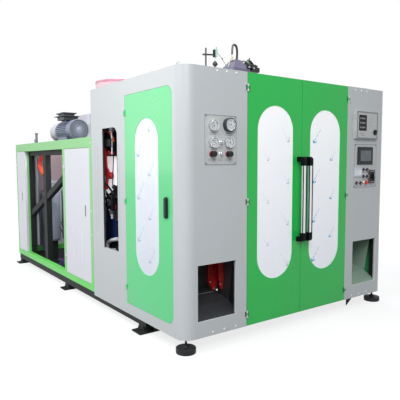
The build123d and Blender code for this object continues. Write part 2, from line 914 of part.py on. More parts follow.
with BuildPart() as box_lock:
    button(box_seat.offset(box_door_gap), box_lock_at, lock_knob_radius, 6)
    with BuildSketch(box_seat.offset(box_door_gap + 6)):
        with Locations(box_lock_at):
            SlotOverall(2 * lock_knob_radius - 6, 12, rotation=45)
    extrude(amount=12)
    button(box_seat.offset(box_door_gap), box_lock_at, spindle_radius, -box_door_thickness - 4)


# Product outlets: steep chutes on the bottom ring behind both openings, and red link arms
chute_width = outlet_width + 60
chute_wall = 2
chute_x = outlet_from_edge - half_width - 20
chute_lip = (front + 150, base + 205)
chute_end = (front + 420, base + 285)
chute_top = base + 600
chute_seat = ring_low[1] + 0.3
with BuildPart() as product_chutes:
    with BuildSketch(Plane.YZ.offset(chute_x)):
        with BuildLine():
            Polyline(
                chute_lip,
                chute_end,
                (chute_end[0], chute_top),
                (chute_end[0] + chute_wall, chute_top),
                (chute_end[0] + chute_wall, chute_end[1] - chute_wall),
                (chute_lip[0], chute_lip[1] - chute_wall),
                close=True,
            )
        make_face()
    extrude(amount=chute_width)
    for x in (chute_x, chute_x + chute_width - chute_wall):
        with BuildSketch(Plane.YZ.offset(x)):
            with BuildLine():
                Polyline(
                    (front + 60, chute_seat),
                    (front + 60, chute_seat + 20),
                    (front + 158, base + 118),
                    (front + 88, chute_top - 40),
                    (front + 88, chute_top),
                    (front + 284, chute_top),
                    (front + 296, base + 250),
                    (front + 296, chute_seat),
                    close=True,
                )
            make_face()
        extrude(amount=chute_wall)
    mirror(about=Plane.YZ)

link_plate = 18
hanger_bottom = base + 290
hanger_top = base + arm_height - weld_gap
hangers = ((461, 575, 300), (575, 690, 390))
link_pin = (600, 345)
hook_y = cabinet_back - 190
hook_top = slot_arm_low - 0.3
with BuildPart() as link_arms:
    for start_x, end_x, y in hangers:
        with BuildSketch(Plane.XZ.offset(-front - y - link_plate)):
            with Locations(((start_x + end_x) / 2 - half_width, hanger_bottom)):
                Rectangle(
                    end_x - start_x, hanger_top - hanger_bottom, align=(Align.CENTER, Align.MIN)
                )
            fillet(vertices().group_by(Axis.Y)[0], radius=(end_x - start_x) / 2 - 4)
            with Locations((start_x + 40 - half_width, hanger_bottom + 190)):
                Circle(14, mode=Mode.SUBTRACT)
        extrude(amount=link_plate)
    block(
        (hangers[0][0] - half_width, front + hangers[0][2], hanger_top - 14),
        (hangers[1][1] - half_width, front + hangers[1][2] + link_plate, hanger_top),
    )
    rod(
        at(link_pin[0], hangers[1][2] - link_plate, link_pin[1]),
        at(link_pin[0], hangers[1][2] + 10, link_pin[1]),
        14,
    )
    with BuildSketch(Plane.YZ.offset(-half_width + 62)):
        with BuildLine():
            FilletPolyline(
                (hook_y, hook_top),
                (hook_y + 86, hook_top),
                (hook_y + 70, hook_top - 110),
                (hook_y + 30, hook_top - 290),
                (hook_y - 70, hook_top - 305),
                (hook_y - 65, hook_top - 240),
                (hook_y - 20, hook_top - 200),
                radius=12,
                close=True,
            )
        make_face()
    extrude(amount=link_plate)
    mirror(about=Plane.YZ)


# Clamp rails: two round bars on legs, for the carriage that shuttles both clamps
rail_z = base + rail_height
rail_ys = (front + clamp_y - rail_spread / 2, front + clamp_y + rail_spread / 2)
rail_end = half_width - 135
support = 100
with BuildPart() as clamp_rails:
    for x in (-rail_end - support / 2, rail_end - support / 2):
        for y in rail_ys:
            low_z = rail_z - support / 2
            hollow(
                (x + 20, y - 30, beam_top + weld_gap), (x + 80, y + 30, low_z - weld_gap)
            )
            block(
                (x, y - support / 2, low_z), (x + support, y + support / 2, low_z + support)
            )
            bore = rail_radius + weld_gap
            rod((x, y, rail_z), (x + support, y, rail_z), bore, Mode.SUBTRACT)
    for y in rail_ys:
        reach = rail_end + support / 2
        rod((-reach, y, rail_z), (reach, y, rail_z), rail_radius)


# Shuttle carriage: a frame on four bearing blocks, with two clamps side by side
left_clamp_x = -station_spacing
right_clamp_x = 0
platen_low = base + clamp_bottom
platen_high = platen_low + platen_height
carriage_low = rail_z + 56
carriage_high = platen_low - 10
tie_x = platen_width / 2 - tie_bar_inset
tie_z = platen_height / 2 - tie_bar_inset
platen_middle = (platen_low + platen_high) / 2
cylinder_radius = 75
rod_radius = 35
rod_reach = crosshead_reach + 130
with BuildPart() as shuttle_carriage:
    for x in (left_clamp_x, right_clamp_x):
        for way in (-1, 1):
            ends = (way * crosshead_reach, way * (crosshead_reach - crosshead_thickness))
            low_y, high_y = sorted(ends)
            with BuildSketch(Plane.XZ.offset(-clamp_centre_y - high_y)):
                with Locations((x, platen_middle - 5)):
                    RectangleRounded(platen_width, platen_height + 10, 20)
                with Locations((x, platen_middle)):
                    if way > 0:
                        Circle(rod_radius + running_fit, mode=Mode.SUBTRACT)
            extrude(amount=crosshead_thickness)
        cylinder_start = clamp_centre_y + crosshead_reach + weld_gap
        cylinder_end = clamp_centre_y + rod_reach + 20
        rod((x, cylinder_start, platen_middle), (x, cylinder_end, platen_middle), cylinder_radius)
        rod(
            (x, cylinder_start, platen_middle),
            (x, cylinder_end - 15, platen_middle),
            rod_radius + running_fit,
            mode=Mode.SUBTRACT,
        )
        for dx in (-tie_x, tie_x):
            for dz in (-tie_z, tie_z):
                reach = crosshead_reach - crosshead_thickness - weld_gap
                rod(
                    (x + dx, clamp_centre_y - reach, platen_middle + dz),
                    (x + dx, clamp_centre_y + reach, platen_middle + dz),
                    tie_bar_radius,
                )
    for x in (left_clamp_x - platen_width / 2, right_clamp_x + platen_width / 2 - 100):
        hollow(
            (x, clamp_centre_y - crosshead_reach, carriage_low),
            (x + 100, clamp_centre_y + crosshead_reach, carriage_high - weld_gap),
        )
    for y in (-crosshead_reach, crosshead_reach - 100):
        hollow(
            (left_clamp_x - platen_width / 2 + 100 + weld_gap, clamp_centre_y + y, carriage_low),
            (
                right_clamp_x + platen_width / 2 - 100 - weld_gap,
                clamp_centre_y + y + 100,
                carriage_high - weld_gap,
            ),
        )
    for x in (left_clamp_x - 160, right_clamp_x + 160):
        for y in rail_ys:
            block((x - 60, y - 50, rail_z - 50), (x + 60, y + 50, carriage_low - weld_gap))
            rod((x - 61, y, rail_z), (x + 61, y, rail_z), rail_radius + running_fit, Mode.SUBTRACT)


def platen(x, way):
    """A clamp plate with T-slots, bored for the tie bars, in the part being built."""
    inner_y = clamp_centre_y + way * platen_opening / 2
    low_y, high_y = sorted((inner_y, inner_y + way * platen_thickness))
    with BuildSketch(Plane.XZ.offset(-high_y)) as profile:
        with Locations((x, platen_middle)):
            RectangleRounded(platen_width, platen_height - 2, 20)
            with GridLocations(2 * tie_x, 2 * tie_z, 2, 2):
                Circle(tie_bar_radius + running_fit, mode=Mode.SUBTRACT)
    extrude(profile.sketch, amount=platen_thickness)
    slot_y = sorted((inner_y, inner_y + way * 14))
    for z in (platen_middle - 90, platen_middle, platen_middle + 90):
        block((x - 120, slot_y[0], z - 9), (x + 120, slot_y[1], z + 9), mode=Mode.SUBTRACT)


with BuildPart() as platen_front_left:
    platen(left_clamp_x, -1)

with BuildPart() as platen_front_right:
    platen(right_clamp_x, -1)


def cylinder_rod(x):
    """The clamp cylinder's rod, from the rear platen out through the rear crosshead."""
    start = clamp_centre_y + platen_opening / 2 + platen_thickness + weld_gap
    rod((x, start, platen_middle), (x, clamp_centre_y + rod_reach, platen_middle), rod_radius)


with BuildPart() as platen_rear_left:
    platen(left_clamp_x, 1)
    cylinder_rod(left_clamp_x)

with BuildPart() as platen_rear_right:
    platen(right_clamp_x, 1)
    cylinder_rod(right_clamp_x)


# Die head hung between the roof beams, and the parison control on top of it
head_plate = 25
neck_radius = 45
die_plane = Plane(origin=(0, clamp_centre_y, 0), x_dir=(1, 0, 0), z_dir=(0, -1, 0))
with BuildPart() as die_head:
    with BuildSketch(die_plane):
        with BuildLine():
            Polyline(
                (0, base + die_bottom),
                (45, base + die_bottom),
                (45, base + die_bottom + 40),
                (75, base + die_bottom + 60),
                (75, base + die_bottom + 110),
                (die_radius, base + die_bottom + 130),
                (die_radius, top - sheet),
                (0, top - sheet),
                close=True,
            )
        make_face()
    revolve(axis=Axis((0, clamp_centre_y, 0), (0, 0, 1)))
    block(
        (-die_beam_x - tube, clamp_centre_y - 150, top - sheet),
        (die_beam_x + tube, clamp_centre_y + 150, top - sheet + head_plate),
    )
    rod(
        (0, clamp_centre_y + die_radius - 20, base + barrel_height),
        (0, clamp_centre_y + die_radius + 5, base + barrel_height),
        neck_radius,
        mode=Mode.SUBTRACT,
    )

servo_base = top - sheet + head_plate
servo_top = base + 2416
servo_hose_radius = 10
servo_hose_route = ((-64, servo_top - 6), (-64, base + 2590), (-10, base + 2590), (-10, servo_top - 6))
valve_low = base + 2330
valve_caps = ((130, 24, 35), (190, 18, 45), (168, 7, 58), (280, 22, 27))
stand_x = -388
stand_top = base + 2492
stand_arm = base + 2440
with BuildPart() as parison_control:
    with BuildSketch(Plane.XY.offset(servo_base)):
        with Locations((-8, clamp_centre_y)):
            Rectangle(260, 240)
    with BuildSketch(Plane.XY.offset(servo_top)):
        with Locations((-8, clamp_centre_y)):
            Rectangle(190, 170)
    loft()
    block(
        (60, clamp_centre_y - 60, valve_low),
        (325, clamp_centre_y + 60, valve_low + 75),
    )
    for x, radius, height in valve_caps:
        rod(
            (x, clamp_centre_y, valve_low + 70),
            (x, clamp_centre_y, valve_low + 75 + height),
            radius,
        )
    hose(
        tuple((x, clamp_centre_y, z) for x, z in servo_hose_route),
        servo_hose_radius,
        26,
    )
    rod((stand_x, clamp_centre_y, top), (stand_x, clamp_centre_y, stand_top), 9)
    rod(
        (stand_x - 47, clamp_centre_y, stand_arm), (stand_x + 111, clamp_centre_y, stand_arm), 6
    )
    rod(
        (stand_x + 111, clamp_centre_y, stand_arm + 6),
        (stand_x + 111, clamp_centre_y, stand_arm - 85),
        3,
    )
    with Locations((stand_x + 111, clamp_centre_y, stand_arm - 85)):
        Sphere(18)

pin_tip = platen_high + 50
pin_length = 380
blow_cylinder_low = pin_tip + 140
with BuildPart() as blow_cylinders:
    for x in (-station_spacing, station_spacing):
        hollow(
            (x - 30, frame_front, ring_high[0] - 60.2),
            (x + 30, frame_back + tube, ring_high[0] - weld_gap),
        )
        rod(
            (x, clamp_centre_y, ring_high[0] - 60.4),
            (x, clamp_centre_y, blow_cylinder_low),
            45,
        )
        rod(
            (x, clamp_centre_y, ring_high[0] - 80),
            (x, clamp_centre_y, blow_cylinder_low),
            20 + running_fit,
            mode=Mode.SUBTRACT,
        )


def blow_pin(x):
    """A blow pin with its nozzle tip, in the part being built."""
    seat = Plane(origin=(x, clamp_centre_y, pin_tip), x_dir=(1, 0, 0), z_dir=(0, -1, 0))
    with BuildSketch(seat) as profile:
        with BuildLine():
            Polyline(
                (0, 0), (8, 0), (14, 15), (14, 60), (20, 70), (20, pin_length), (0, pin_length),
                close=True,
            )
        make_face()
    revolve(profile.sketch, axis=Axis((x, clamp_centre_y, 0), (0, 0, 1)))


with BuildPart() as blow_pin_left:
    blow_pin(-station_spacing)

with BuildPart() as blow_pin_right:
    blow_pin(station_spacing)


# Extruder: barrel into the die head, feed block, gearbox and hopper behind
barrel_z = base + barrel_height
barrel_start = clamp_centre_y + die_radius
feed_half = 140
collar_y = cabinet_back - 280
collar_radius = 95
with BuildPart() as extruder_barrel:
    with BuildSketch(Plane.YZ):
        with BuildLine():
            Polyline(
                (barrel_start - 20, barrel_z),
                (barrel_start - 20, barrel_z + neck_radius),
                (collar_y, barrel_z + neck_radius),
                (collar_y, barrel_z + collar_radius),
                (collar_y + 50, barrel_z + collar_radius),
                (collar_y + 50, barrel_z + barrel_radius),
                (front + feed_y - feed_half, barrel_z + barrel_radius),
                (front + feed_y - feed_half, barrel_z),
                close=True,
            )
        make_face()
    revolve(axis=Axis((0, 0, barrel_z), (0, 1, 0)))
    block(
        (-120, front + feed_y - feed_half, barrel_z - 120),
        (120, front + feed_y + feed_half, barrel_z + 120),
    )
    block((-90, front + feed_y - feed_half, rear_top), (90, front + deck_beams[2] + 100, barrel_z))
    rod(
        (0, front + feed_y, barrel_z + 120), (0, front + feed_y, barrel_z + 40), 50, Mode.SUBTRACT
    )

band_count = 6
band_thickness = 12
band_start = collar_y + 120
band_pitch = (front + feed_y - feed_half - band_start - 220) / band_count
band_width = band_pitch - 70
with BuildPart() as heater_bands:
    for i in range(band_count):
        y = band_start + i * band_pitch
        rod((0, y, barrel_z), (0, y + band_width, barrel_z), barrel_radius + band_thickness)
        rod((0, y, barrel_z), (0, y + band_width, barrel_z), barrel_radius, Mode.SUBTRACT)

gearbox_x = (-435, 195)
gearbox_start = front + feed_y + feed_half + 0.3
with BuildPart() as gearbox:
    block(
        (gearbox_x[0], gearbox_start, rear_top + 30),
        (gearbox_x[1], gearbox_start + 440, barrel_z + 190),
    )
    fillet(edges().filter_by(Axis.Z), radius=30)
    fillet(faces().sort_by(Axis.Z)[-1].edges(), radius=20)
    block(
        (gearbox_x[0] - 30, front + deck_beams[3], rear_top),
        (gearbox_x[1] + 30, gearbox_start + 440, rear_top + 30),
    )

hopper_base = barrel_z + 120
hopper_top = base + 2540
lid_skirt = 20
lid_rim = hopper_radius + hopper_wall + 1
lid_knuckle = 5
lid_pin = 2.5
lid_pin_y = front + feed_y + lid_rim + 3 + lid_knuckle + 0.3
lid_pin_z = hopper_top - lid_skirt - 2
lug_half = 32
lug_inner = 15


def lid_rod(low, high, radius, mode=Mode.ADD):
    """A rod on the lid's hinge line, in the part being built."""
    rod((low, lid_pin_y, lid_pin_z), (high, lid_pin_y, lid_pin_z), radius, mode)


with BuildPart() as hopper:
    with BuildSketch(Plane.YZ):
        with BuildLine():
            FilletPolyline(
                (front + feed_y + 50, hopper_base),
                (front + feed_y + 50, hopper_base + 50),
                (front + feed_y + hopper_radius, hopper_base + 330),
                (front + feed_y + hopper_radius, hopper_top),
                radius=(8, 12),
            )
            offset(amount=hopper_wall, side=Side.RIGHT)
        make_face()
        with Locations((front + feed_y + 50, hopper_base)):
            Rectangle(60, 12, align=(Align.MIN, Align.MIN))
    revolve(axis=Axis((0, front + feed_y, 0), (0, 0, 1)))
    for low, high in ((-lug_half, -lug_inner - 1), (lug_inner + 1, lug_half)):
        lid_rod(low, high, lid_knuckle)
        block(
            (low, lid_pin_y - lid_knuckle + 1, lid_pin_z - 23),
            (high, lid_pin_y + lid_knuckle - 1, lid_pin_z),
        )
        block(
            (low, front + feed_y + hopper_radius + 0.5, lid_pin_z - 23),
            (high, lid_pin_y + lid_knuckle - 1, lid_pin_z - 10),
        )
    lid_rod(-lug_half, lug_half, lid_pin)

with BuildPart() as hopper_lid:
    with BuildSketch(Plane.YZ):
        with BuildLine():
            rim = front + feed_y + lid_rim
            crown = Spline(
                (front + feed_y, hopper_top + 57),
                (front + feed_y + 200, hopper_top + 38),
                (rim, hopper_top + 10),
                tangents=((1, 0), (0.96, -0.3)),
            )
            Polyline(
                crown @ 1,
                (rim + 3, hopper_top + 8),
                (rim + 3, hopper_top - lid_skirt),
                (rim, hopper_top - lid_skirt),
                (rim, hopper_top + 0.3),
                (front + feed_y, hopper_top + 0.3),
                crown @ 0,
            )
        make_face()
    revolve(axis=Axis((0, front + feed_y, 0), (0, 0, 1)))
    lid_rod(-lug_inner, lug_inner, lid_knuckle)
    block(
        (-lug_inner, front + feed_y + lid_rim + 1.5, hopper_top - lid_skirt),
        (lug_inner, lid_pin_y, hopper_top - lid_skirt + 8),
    )
    lid_rod(-lug_inner, lug_inner, lid_pin + pin_fit, Mode.SUBTRACT)


# Main motor on the rear deck, its belt guard and the hydraulic unit below
motor_z = rear_top + shaft_height
motor_at = motor_x - half_width
with BuildPart() as main_motor:
    rod(
        (motor_at, front + motor_start, motor_z),
        (motor_at, front + motor_start + 120, motor_z),
        motor_radius,
    )
    fillet(faces().sort_by(Axis.Y)[0].edges(), radius=14)
    rod(
        (motor_at, front + motor_start + 120, motor_z),
        (motor_at, front + motor_start + motor_length - 20, motor_z),
        motor_radius - 14,
    )
    with BuildSketch(Plane.XZ.offset(-front - motor_start - 135)):
        with Locations((motor_at, motor_z)):
            with PolarLocations(motor_radius - 8, 32):
                Rectangle(20, 3)
    extrude(amount=-(motor_length - 180))
    for x in (-1, 1):
        block(
            (motor_at + x * 115 - 32, front + motor_start + 150, rear_top),
            (motor_at + x * 115 + 32, front + motor_start + 500, rear_top + 18),
        )
        block(
            (motor_at + x * 95 - 12, front + motor_start + 170, rear_top + 18),
            (motor_at + x * 95 + 12, front + motor_start + 480, motor_z - 50),
        )
    block(
        (motor_at - 80, front + motor_start + 230, motor_z + 100),
        (motor_at + 80, front + motor_start + 400, motor_z + 180),
    )
    block(
        (motor_at - 95, front + motor_start + 215, motor_z + 180),
        (motor_at + 95, front + motor_start + 415, motor_z + 190),
    )
    rod(
        (motor_at, front + motor_start + motor_length - 20, motor_z),
        (motor_at, front + motor_start + motor_length + 60, motor_z),
        24,
    )

guard_start = front + motor_start + motor_length + 0.3
guard_end = gearbox_start - weld_gap
input_x = -335
with BuildPart() as belt_guard:
    with BuildSketch(Plane.XZ.offset(-guard_end)):
        with BuildLine():
            l1 = CenterArc((motor_at, motor_z), 130, 90, 180)
            l2 = CenterArc((input_x, motor_z), 130, -90, 180)
            Line(l1 @ 1, l2 @ 0)
            Line(l2 @ 1, l1 @ 0)
        make_face()
    extrude(amount=guard_end - guard_start)
    rod((motor_at, guard_start, motor_z), (motor_at, guard_start + 120, motor_z), 40, Mode.SUBTRACT)

unit_start = enclosure_length - 1820
unit_top = 620
stand_back = cabinet_depth - 160
with BuildPart() as hydraulic_unit:
    block(at(520, unit_start, beam_top - base + 0.4), at(1500, unit_start + 650, unit_top))
    block(at(560, unit_start + 40, unit_top), at(1460, unit_start + 610, unit_top + 20))
    rod(at(800, unit_start + 100, unit_top + 160), at(800, unit_start + 550, unit_top + 160), 130)
    block(at(700, unit_start + 160, unit_top + 20), at(900, unit_start + 490, unit_top + 80))
    hollow(at(180, stand_back - 80, beam_top - base + weld_gap), at(260, stand_back, 604.8))
    block(at(110, stand_back - 170, 605), at(330, stand_back + 40, 850))

accumulator_radius = 90
with BuildPart() as accumulators:
    for x, y in accumulator_places:
        with BuildSketch(Plane(origin=at(x, y, 0), x_dir=(1, 0, 0), z_dir=(0, -1, 0))):
            with BuildLine():
                foot = accumulator_foot + 0.3
                l1 = Polyline((0, foot), (accumulator_radius - 40, foot))
                l2 = RadiusArc(l1 @ 1, (accumulator_radius, foot + 40), -40)
                l3 = Line(l2 @ 1, (accumulator_radius, 960))
                l4 = RadiusArc(l3 @ 1, (30, 1030), -62)
                Polyline(l4 @ 1, (30, 1090), (0, 1090), (0, foot))
            make_face()
        revolve(axis=Axis(at(x, y, 0), (0, 0, 1)))

pipe_radius = 17
filter_place = (368, enclosure_length - 95)
filter_radius = 40
filter_foot = beam_top - base + 0.3
with BuildPart() as water_pipes:
    x = half_width - inner_x + pipe_radius + 0.3
    for y, height in ((enclosure_length - 515, 1788), (enclosure_length - 475, 1700)):
        rod(at(x, y, 200), at(x, y, height), pipe_radius)
        rod(at(x, y, height - 20), at(x, y, height), pipe_radius + 4)
    with BuildSketch(Plane(origin=at(*filter_place, 0), x_dir=(1, 0, 0), z_dir=(0, -1, 0))):
        with BuildLine():
            FilletPolyline(
                (0, filter_foot),
                (filter_radius, filter_foot),
                (filter_radius, filter_foot + 880),
                (14, filter_foot + 900),
                (14, filter_foot + 940),
                (0, filter_foot + 940),
                radius=(4, 12, 3, 2),
            )
            Line((0, filter_foot + 940), (0, filter_foot))
        make_face()
    revolve(axis=Axis(at(*filter_place, 0), (0, 0, 1)))

hose_radius = 22
with BuildPart() as red_hoses:
    hose(
        (at(258, feed_y, 1090.3), at(258, feed_y, 1190), at(165, feed_y + 100, 1290),
         at(240, feed_y + 230, 1390), at(240, feed_y + 230, 1529.7)),
        hose_radius,
        (60, 70, 60),
    )


# Labels and files
save(base_frame.part, "base_frame")
save(anchor_lugs.part, "anchor_lugs")
save(levelling_feet.part, "levelling_feet")
save(cabinet_frame.part, "cabinet_frame")
save(left_cabinet_panel.part, "left_cabinet_panel")
save(right_cabinet_panel.part, "right_cabinet_panel")
save(roof_panel.part, "roof_panel")
save(rear_frame.part, "rear_frame")
save(inner_frame.part, "inner_frame")
save(rear_panels.part, "rear_panels")
save(front_door_left.part, "front_door_left")
save(front_door_right.part, "front_door_right")
save(front_window_left.part, "front_window_left")
save(front_window_right.part, "front_window_right")
save(handle_left.part, "handle_left")
save(handle_right.part, "handle_right")
save(side_door_left.part, "side_door_left")
save(side_door_right.part, "side_door_right")
save(side_window_left.part, "side_window_left")
save(side_window_right.part, "side_window_right")
save(side_lock_left.part, "side_lock_left")
save(side_lock_right.part, "side_lock_right")
save(service_door_front.part, "service_door_front")
save(service_door_rear.part, "service_door_rear")
save(hinge_leaves.part, "hinge_leaves")
save(gauge_panel.part, "gauge_panel")
save(pressure_gauges.part, "pressure_gauges")
save(regulator_left.part, "regulator_left")
save(regulator_right.part, "regulator_right")
save(control_panel.part, "control_panel")
save(touch_screen.part, "touch_screen")
save(emergency_stop.part, "emergency_stop")
save(breaker_handle.part, "breaker_handle")
save(electrical_box.part, "electrical_box")
save(box_door.part, "box_door")
save(box_lock.part, "box_lock")
save(product_chutes.part, "product_chutes")
save(link_arms.part, "link_arms")
save(clamp_rails.part, "clamp_rails")
save(shuttle_carriage.part, "shuttle_carriage")
save(platen_front_left.part, "platen_front_left")
save(platen_front_right.part, "platen_front_right")
save(platen_rear_left.part, "platen_rear_left")
save(platen_rear_right.part, "platen_rear_right")
save(die_head.part, "die_head")
save(parison_control.part, "parison_control")
save(blow_cylinders.part, "blow_cylinders")
save(blow_pin_left.part, "blow_pin_left")
save(blow_pin_right.part, "blow_pin_right")
save(extruder_barrel.part, "extruder_barrel")
save(heater_bands.part, "heater_bands")
save(gearbox.part, "gearbox")
save(hopper.part, "hopper")
save(hopper_lid.part, "hopper_lid")
save(main_motor.part, "main_motor")
save(belt_guard.part, "belt_guard")
save(hydraulic_unit.part, "hydraulic_unit")
save(accumulators.part, "accumulators")
save(water_pipes.part, "water_pipes")
save(red_hoses.part, "red_hoses")
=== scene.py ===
import json
import math
from contextlib import contextmanager

import bmesh
import bpy
from mathutils import Euler, Matrix, Vector


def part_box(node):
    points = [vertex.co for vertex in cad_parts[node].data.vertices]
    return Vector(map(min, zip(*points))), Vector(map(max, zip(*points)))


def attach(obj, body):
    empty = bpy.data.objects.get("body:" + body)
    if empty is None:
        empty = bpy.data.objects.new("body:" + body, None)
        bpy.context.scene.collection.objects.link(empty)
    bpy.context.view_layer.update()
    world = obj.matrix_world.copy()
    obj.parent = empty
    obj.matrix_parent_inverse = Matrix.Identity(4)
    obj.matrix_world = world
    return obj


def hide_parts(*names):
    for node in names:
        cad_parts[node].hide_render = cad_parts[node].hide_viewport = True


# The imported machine: doors face -Y, the rear section runs to +Y, metres throughout
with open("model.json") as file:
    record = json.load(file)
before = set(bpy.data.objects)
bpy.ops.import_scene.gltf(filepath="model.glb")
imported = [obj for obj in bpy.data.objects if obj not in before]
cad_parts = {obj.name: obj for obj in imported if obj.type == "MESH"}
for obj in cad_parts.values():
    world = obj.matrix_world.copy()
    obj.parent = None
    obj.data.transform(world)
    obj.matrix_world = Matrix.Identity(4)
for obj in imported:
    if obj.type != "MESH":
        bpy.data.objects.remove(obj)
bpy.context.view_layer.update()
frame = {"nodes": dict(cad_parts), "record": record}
nodes = frame["nodes"]
slots = {entry["node"]: entry["material_slot"] for entry in frame["record"]["subparts"]}

LEFT, FRONT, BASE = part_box("left_cabinet_panel")[0]
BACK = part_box("rear_frame")[1].y
WIDTH = -2 * LEFT
SHEET = 0.003
PROUD = 0.0003
SHARP_ANGLE = math.radians(35)

X, Y, Z = Vector((1, 0, 0)), Vector((0, 1, 0)), Vector((0, 0, 1))


def at(x, y, z):
    """A point from the left sheet, the front sheet and the lower edge of the sheets."""
    return Vector((LEFT + x, FRONT + y, BASE + z))


# Shader nodes
def plug(tree, node, inputs):
    """Link or set inputs of a node."""
    for key, value in inputs:
        if isinstance(value, bpy.types.NodeSocket):
            tree.links.new(value, node.inputs[key])
        else:
            node.inputs[key].default_value = value


def add_node(tree, kind, inputs=(), **settings):
    """A shader node with its settings and inputs."""
    node = tree.nodes.new("ShaderNode" + kind)
    for key, value in settings.items():
        setattr(node, key, value)
    plug(tree, node, inputs)
    return node


def calc(tree, operation, *values):
    """The result of a math node."""
    return add_node(tree, "Math", enumerate(values), operation=operation).outputs[0]


def vector_calc(tree, operation, *values):
    """The result of a vector math node."""
    node = add_node(tree, "VectorMath", enumerate(values), operation=operation)
    return node.outputs["Value" if operation in ("LENGTH", "DOT_PRODUCT") else "Vector"]


def own_place(tree):
    """The object's own coordinates."""
    return add_node(tree, "TexCoord").outputs["Object"]


def parts_of(tree, vector):
    """The three parts of a vector."""
    return add_node(tree, "SeparateXYZ", [(0, vector)]).outputs


def noise(tree, scale, detail, stretch=(1, 1, 1), rough=0.5):
    """A noise value on the object's own coordinates."""
    place = add_node(tree, "Mapping", [("Vector", own_place(tree)), ("Scale", stretch)]).outputs[0]
    inputs = [("Vector", place), ("Scale", scale), ("Detail", detail), ("Roughness", rough)]
    return add_node(tree, "TexNoise", inputs).outputs["Fac"]


def mapped(tree, value, low, high, start=0.3, end=0.7):
    """A value spread over a range."""
    ends = [("From Min", start), ("From Max", end), ("To Min", low), ("To Max", high)]
    return add_node(tree, "MapRange", [("Value", value), *ends]).outputs["Result"]


def mixed(tree, factor, first, second):
    """Two colours mixed by a factor."""
    return add_node(tree, "Mix", [(0, factor), (6, first), (7, second)], data_type="RGBA").outputs[2]


def mixed_value(tree, factor, first, second):
    """Two values mixed by a factor."""
    return add_node(tree, "Mix", [(0, factor), (2, first), (3, second)], data_type="FLOAT").outputs[0]


def rgba(colour, gain=1.0):
    """A linear colour from 0 to 255 display values."""
    linear = []
    for channel in colour:
        c = channel / 255
        linear.append(gain * (c / 12.92 if c <= 0.04045 else ((c + 0.055) / 1.055) ** 2.4))
    return (*linear, 1.0)


def shade(base, gain, lift=0.0):
    """A linear colour made darker or lighter."""
    return (*(min(1.0, c * gain + lift) for c in base[:3]), 1.0)


def inside(tree, low, high):
    """One where a point of the object lies between two corners, and zero elsewhere."""
    away = vector_calc(tree, "SUBTRACT", own_place(tree), (Vector(low) + Vector(high)) / 2)
    away = vector_calc(tree, "ABSOLUTE", away)
    room = parts_of(tree, vector_calc(tree, "SUBTRACT", (Vector(high) - Vector(low)) / 2, away))
    least = calc(tree, "MINIMUM", calc(tree, "MINIMUM", room["X"], room["Y"]), room["Z"])
    return calc(tree, "GREATER_THAN", least, 0.0)


# Kinds of material
def new_material():
    """A new material, its node tree and its surface shader."""
    mat = bpy.data.materials.new("finish")
    mat.use_nodes = True
    return mat, mat.node_tree, mat.node_tree.nodes["Principled BSDF"]


def worn_and_highlit_edges(tree, tone, base, wear_and_highlight):
    """A tone that turns paler in broken patches along sharp edges: partly wear and partly a painted
    highlight on the edges.
    """
    normal = add_node(tree, "NewGeometry").outputs["Normal"]
    rounded_normal = add_node(tree, "Bevel", [("Radius", 0.004)], samples=4).outputs[0]
    rim = mapped(tree, vector_calc(tree, "DOT_PRODUCT", rounded_normal, normal), wear_and_highlight, 0.0, 0.75, 0.98)
    broken = calc(tree, "MULTIPLY", rim, noise(tree, 40.0, 4.0))
    return mixed(tree, broken, tone, shade(base, 1.5, 0.08))


def dusty(tree, tone, drift, dust):
    """A tone with dust on the faces that look up."""
    normal = parts_of(tree, add_node(tree, "NewGeometry").outputs["Normal"])
    lying = calc(tree, "MULTIPLY", mapped(tree, normal["Z"], 0.0, dust, 0.5, 1.0), drift)
    return mixed(tree, lying, tone, rgba((176, 172, 164)))


def finish(
    colour, rough=0.4, metal=0.0, mottle=0.06, scale=2.5, grain=600.0, relief=0.05,
    coat=0.0, stretch=(1, 1, 1), edge=0.0, dust=0.0, sheen=0.5, glow=0.0, zones=(),
):
    """A surface with drifting tone, uneven gloss, fine grain, edges paler from wear and a painted
    highlight, and settled dust.

    Each zone is two corners with the colour and roughness that the surface has between them.
    """
    mat, tree, shader = new_material()
    base = rgba(colour)
    drift = noise(tree, scale, 4.0)
    fine = noise(tree, grain, 2.0, stretch)
    tone = mixed(tree, mapped(tree, drift, 0.0, 1.0), shade(base, 1 - mottle), shade(base, 1 + mottle))
    if edge:
        tone = worn_and_highlit_edges(tree, tone, base, edge)
    if dust:
        tone = dusty(tree, tone, drift, dust)
    gloss = mapped(tree, drift, max(0.02, rough - 0.03), min(1.0, rough + 0.03))
    metallic = metal
    for low, high, zone_colour, zone_rough in zones:
        mask = inside(tree, low, high)
        faded = mapped(tree, drift, 0.0, 0.12)
        tone = mixed(tree, mask, tone, mixed(tree, faded, rgba(zone_colour), rgba(zone_colour, 0.6)))
        gloss = mixed_value(tree, mask, gloss, zone_rough)
        metallic = mixed_value(tree, mask, metallic, 0.0)
    bump = add_node(tree, "Bump", [("Strength", relief), ("Distance", 0.0006), ("Height", fine)])
    plug(tree, shader, [
        ("Base Color", tone), ("Roughness", gloss), ("Metallic", metallic), ("Specular IOR Level", sheen),
        ("Coat Weight", coat), ("Coat Roughness", 0.12), ("Normal", bump.outputs[0]),
    ])
    # Emission is painted light: the surface glows though it is no lamp.
    if glow:
        plug(tree, shader, [("Emission Color", tone), ("Emission Strength", glow)])
    return mat


def glass(colour):
    """Clear glass with a faint smear."""
    mat, tree, shader = new_material()
    smear = mapped(tree, noise(tree, 14.0, 5.0), 0.02, 0.07)
    plug(tree, shader, [
        ("Roughness", smear), ("Base Color", rgba(colour)), ("Transmission Weight", 1.0), ("IOR", 1.46),
    ])
    return mat


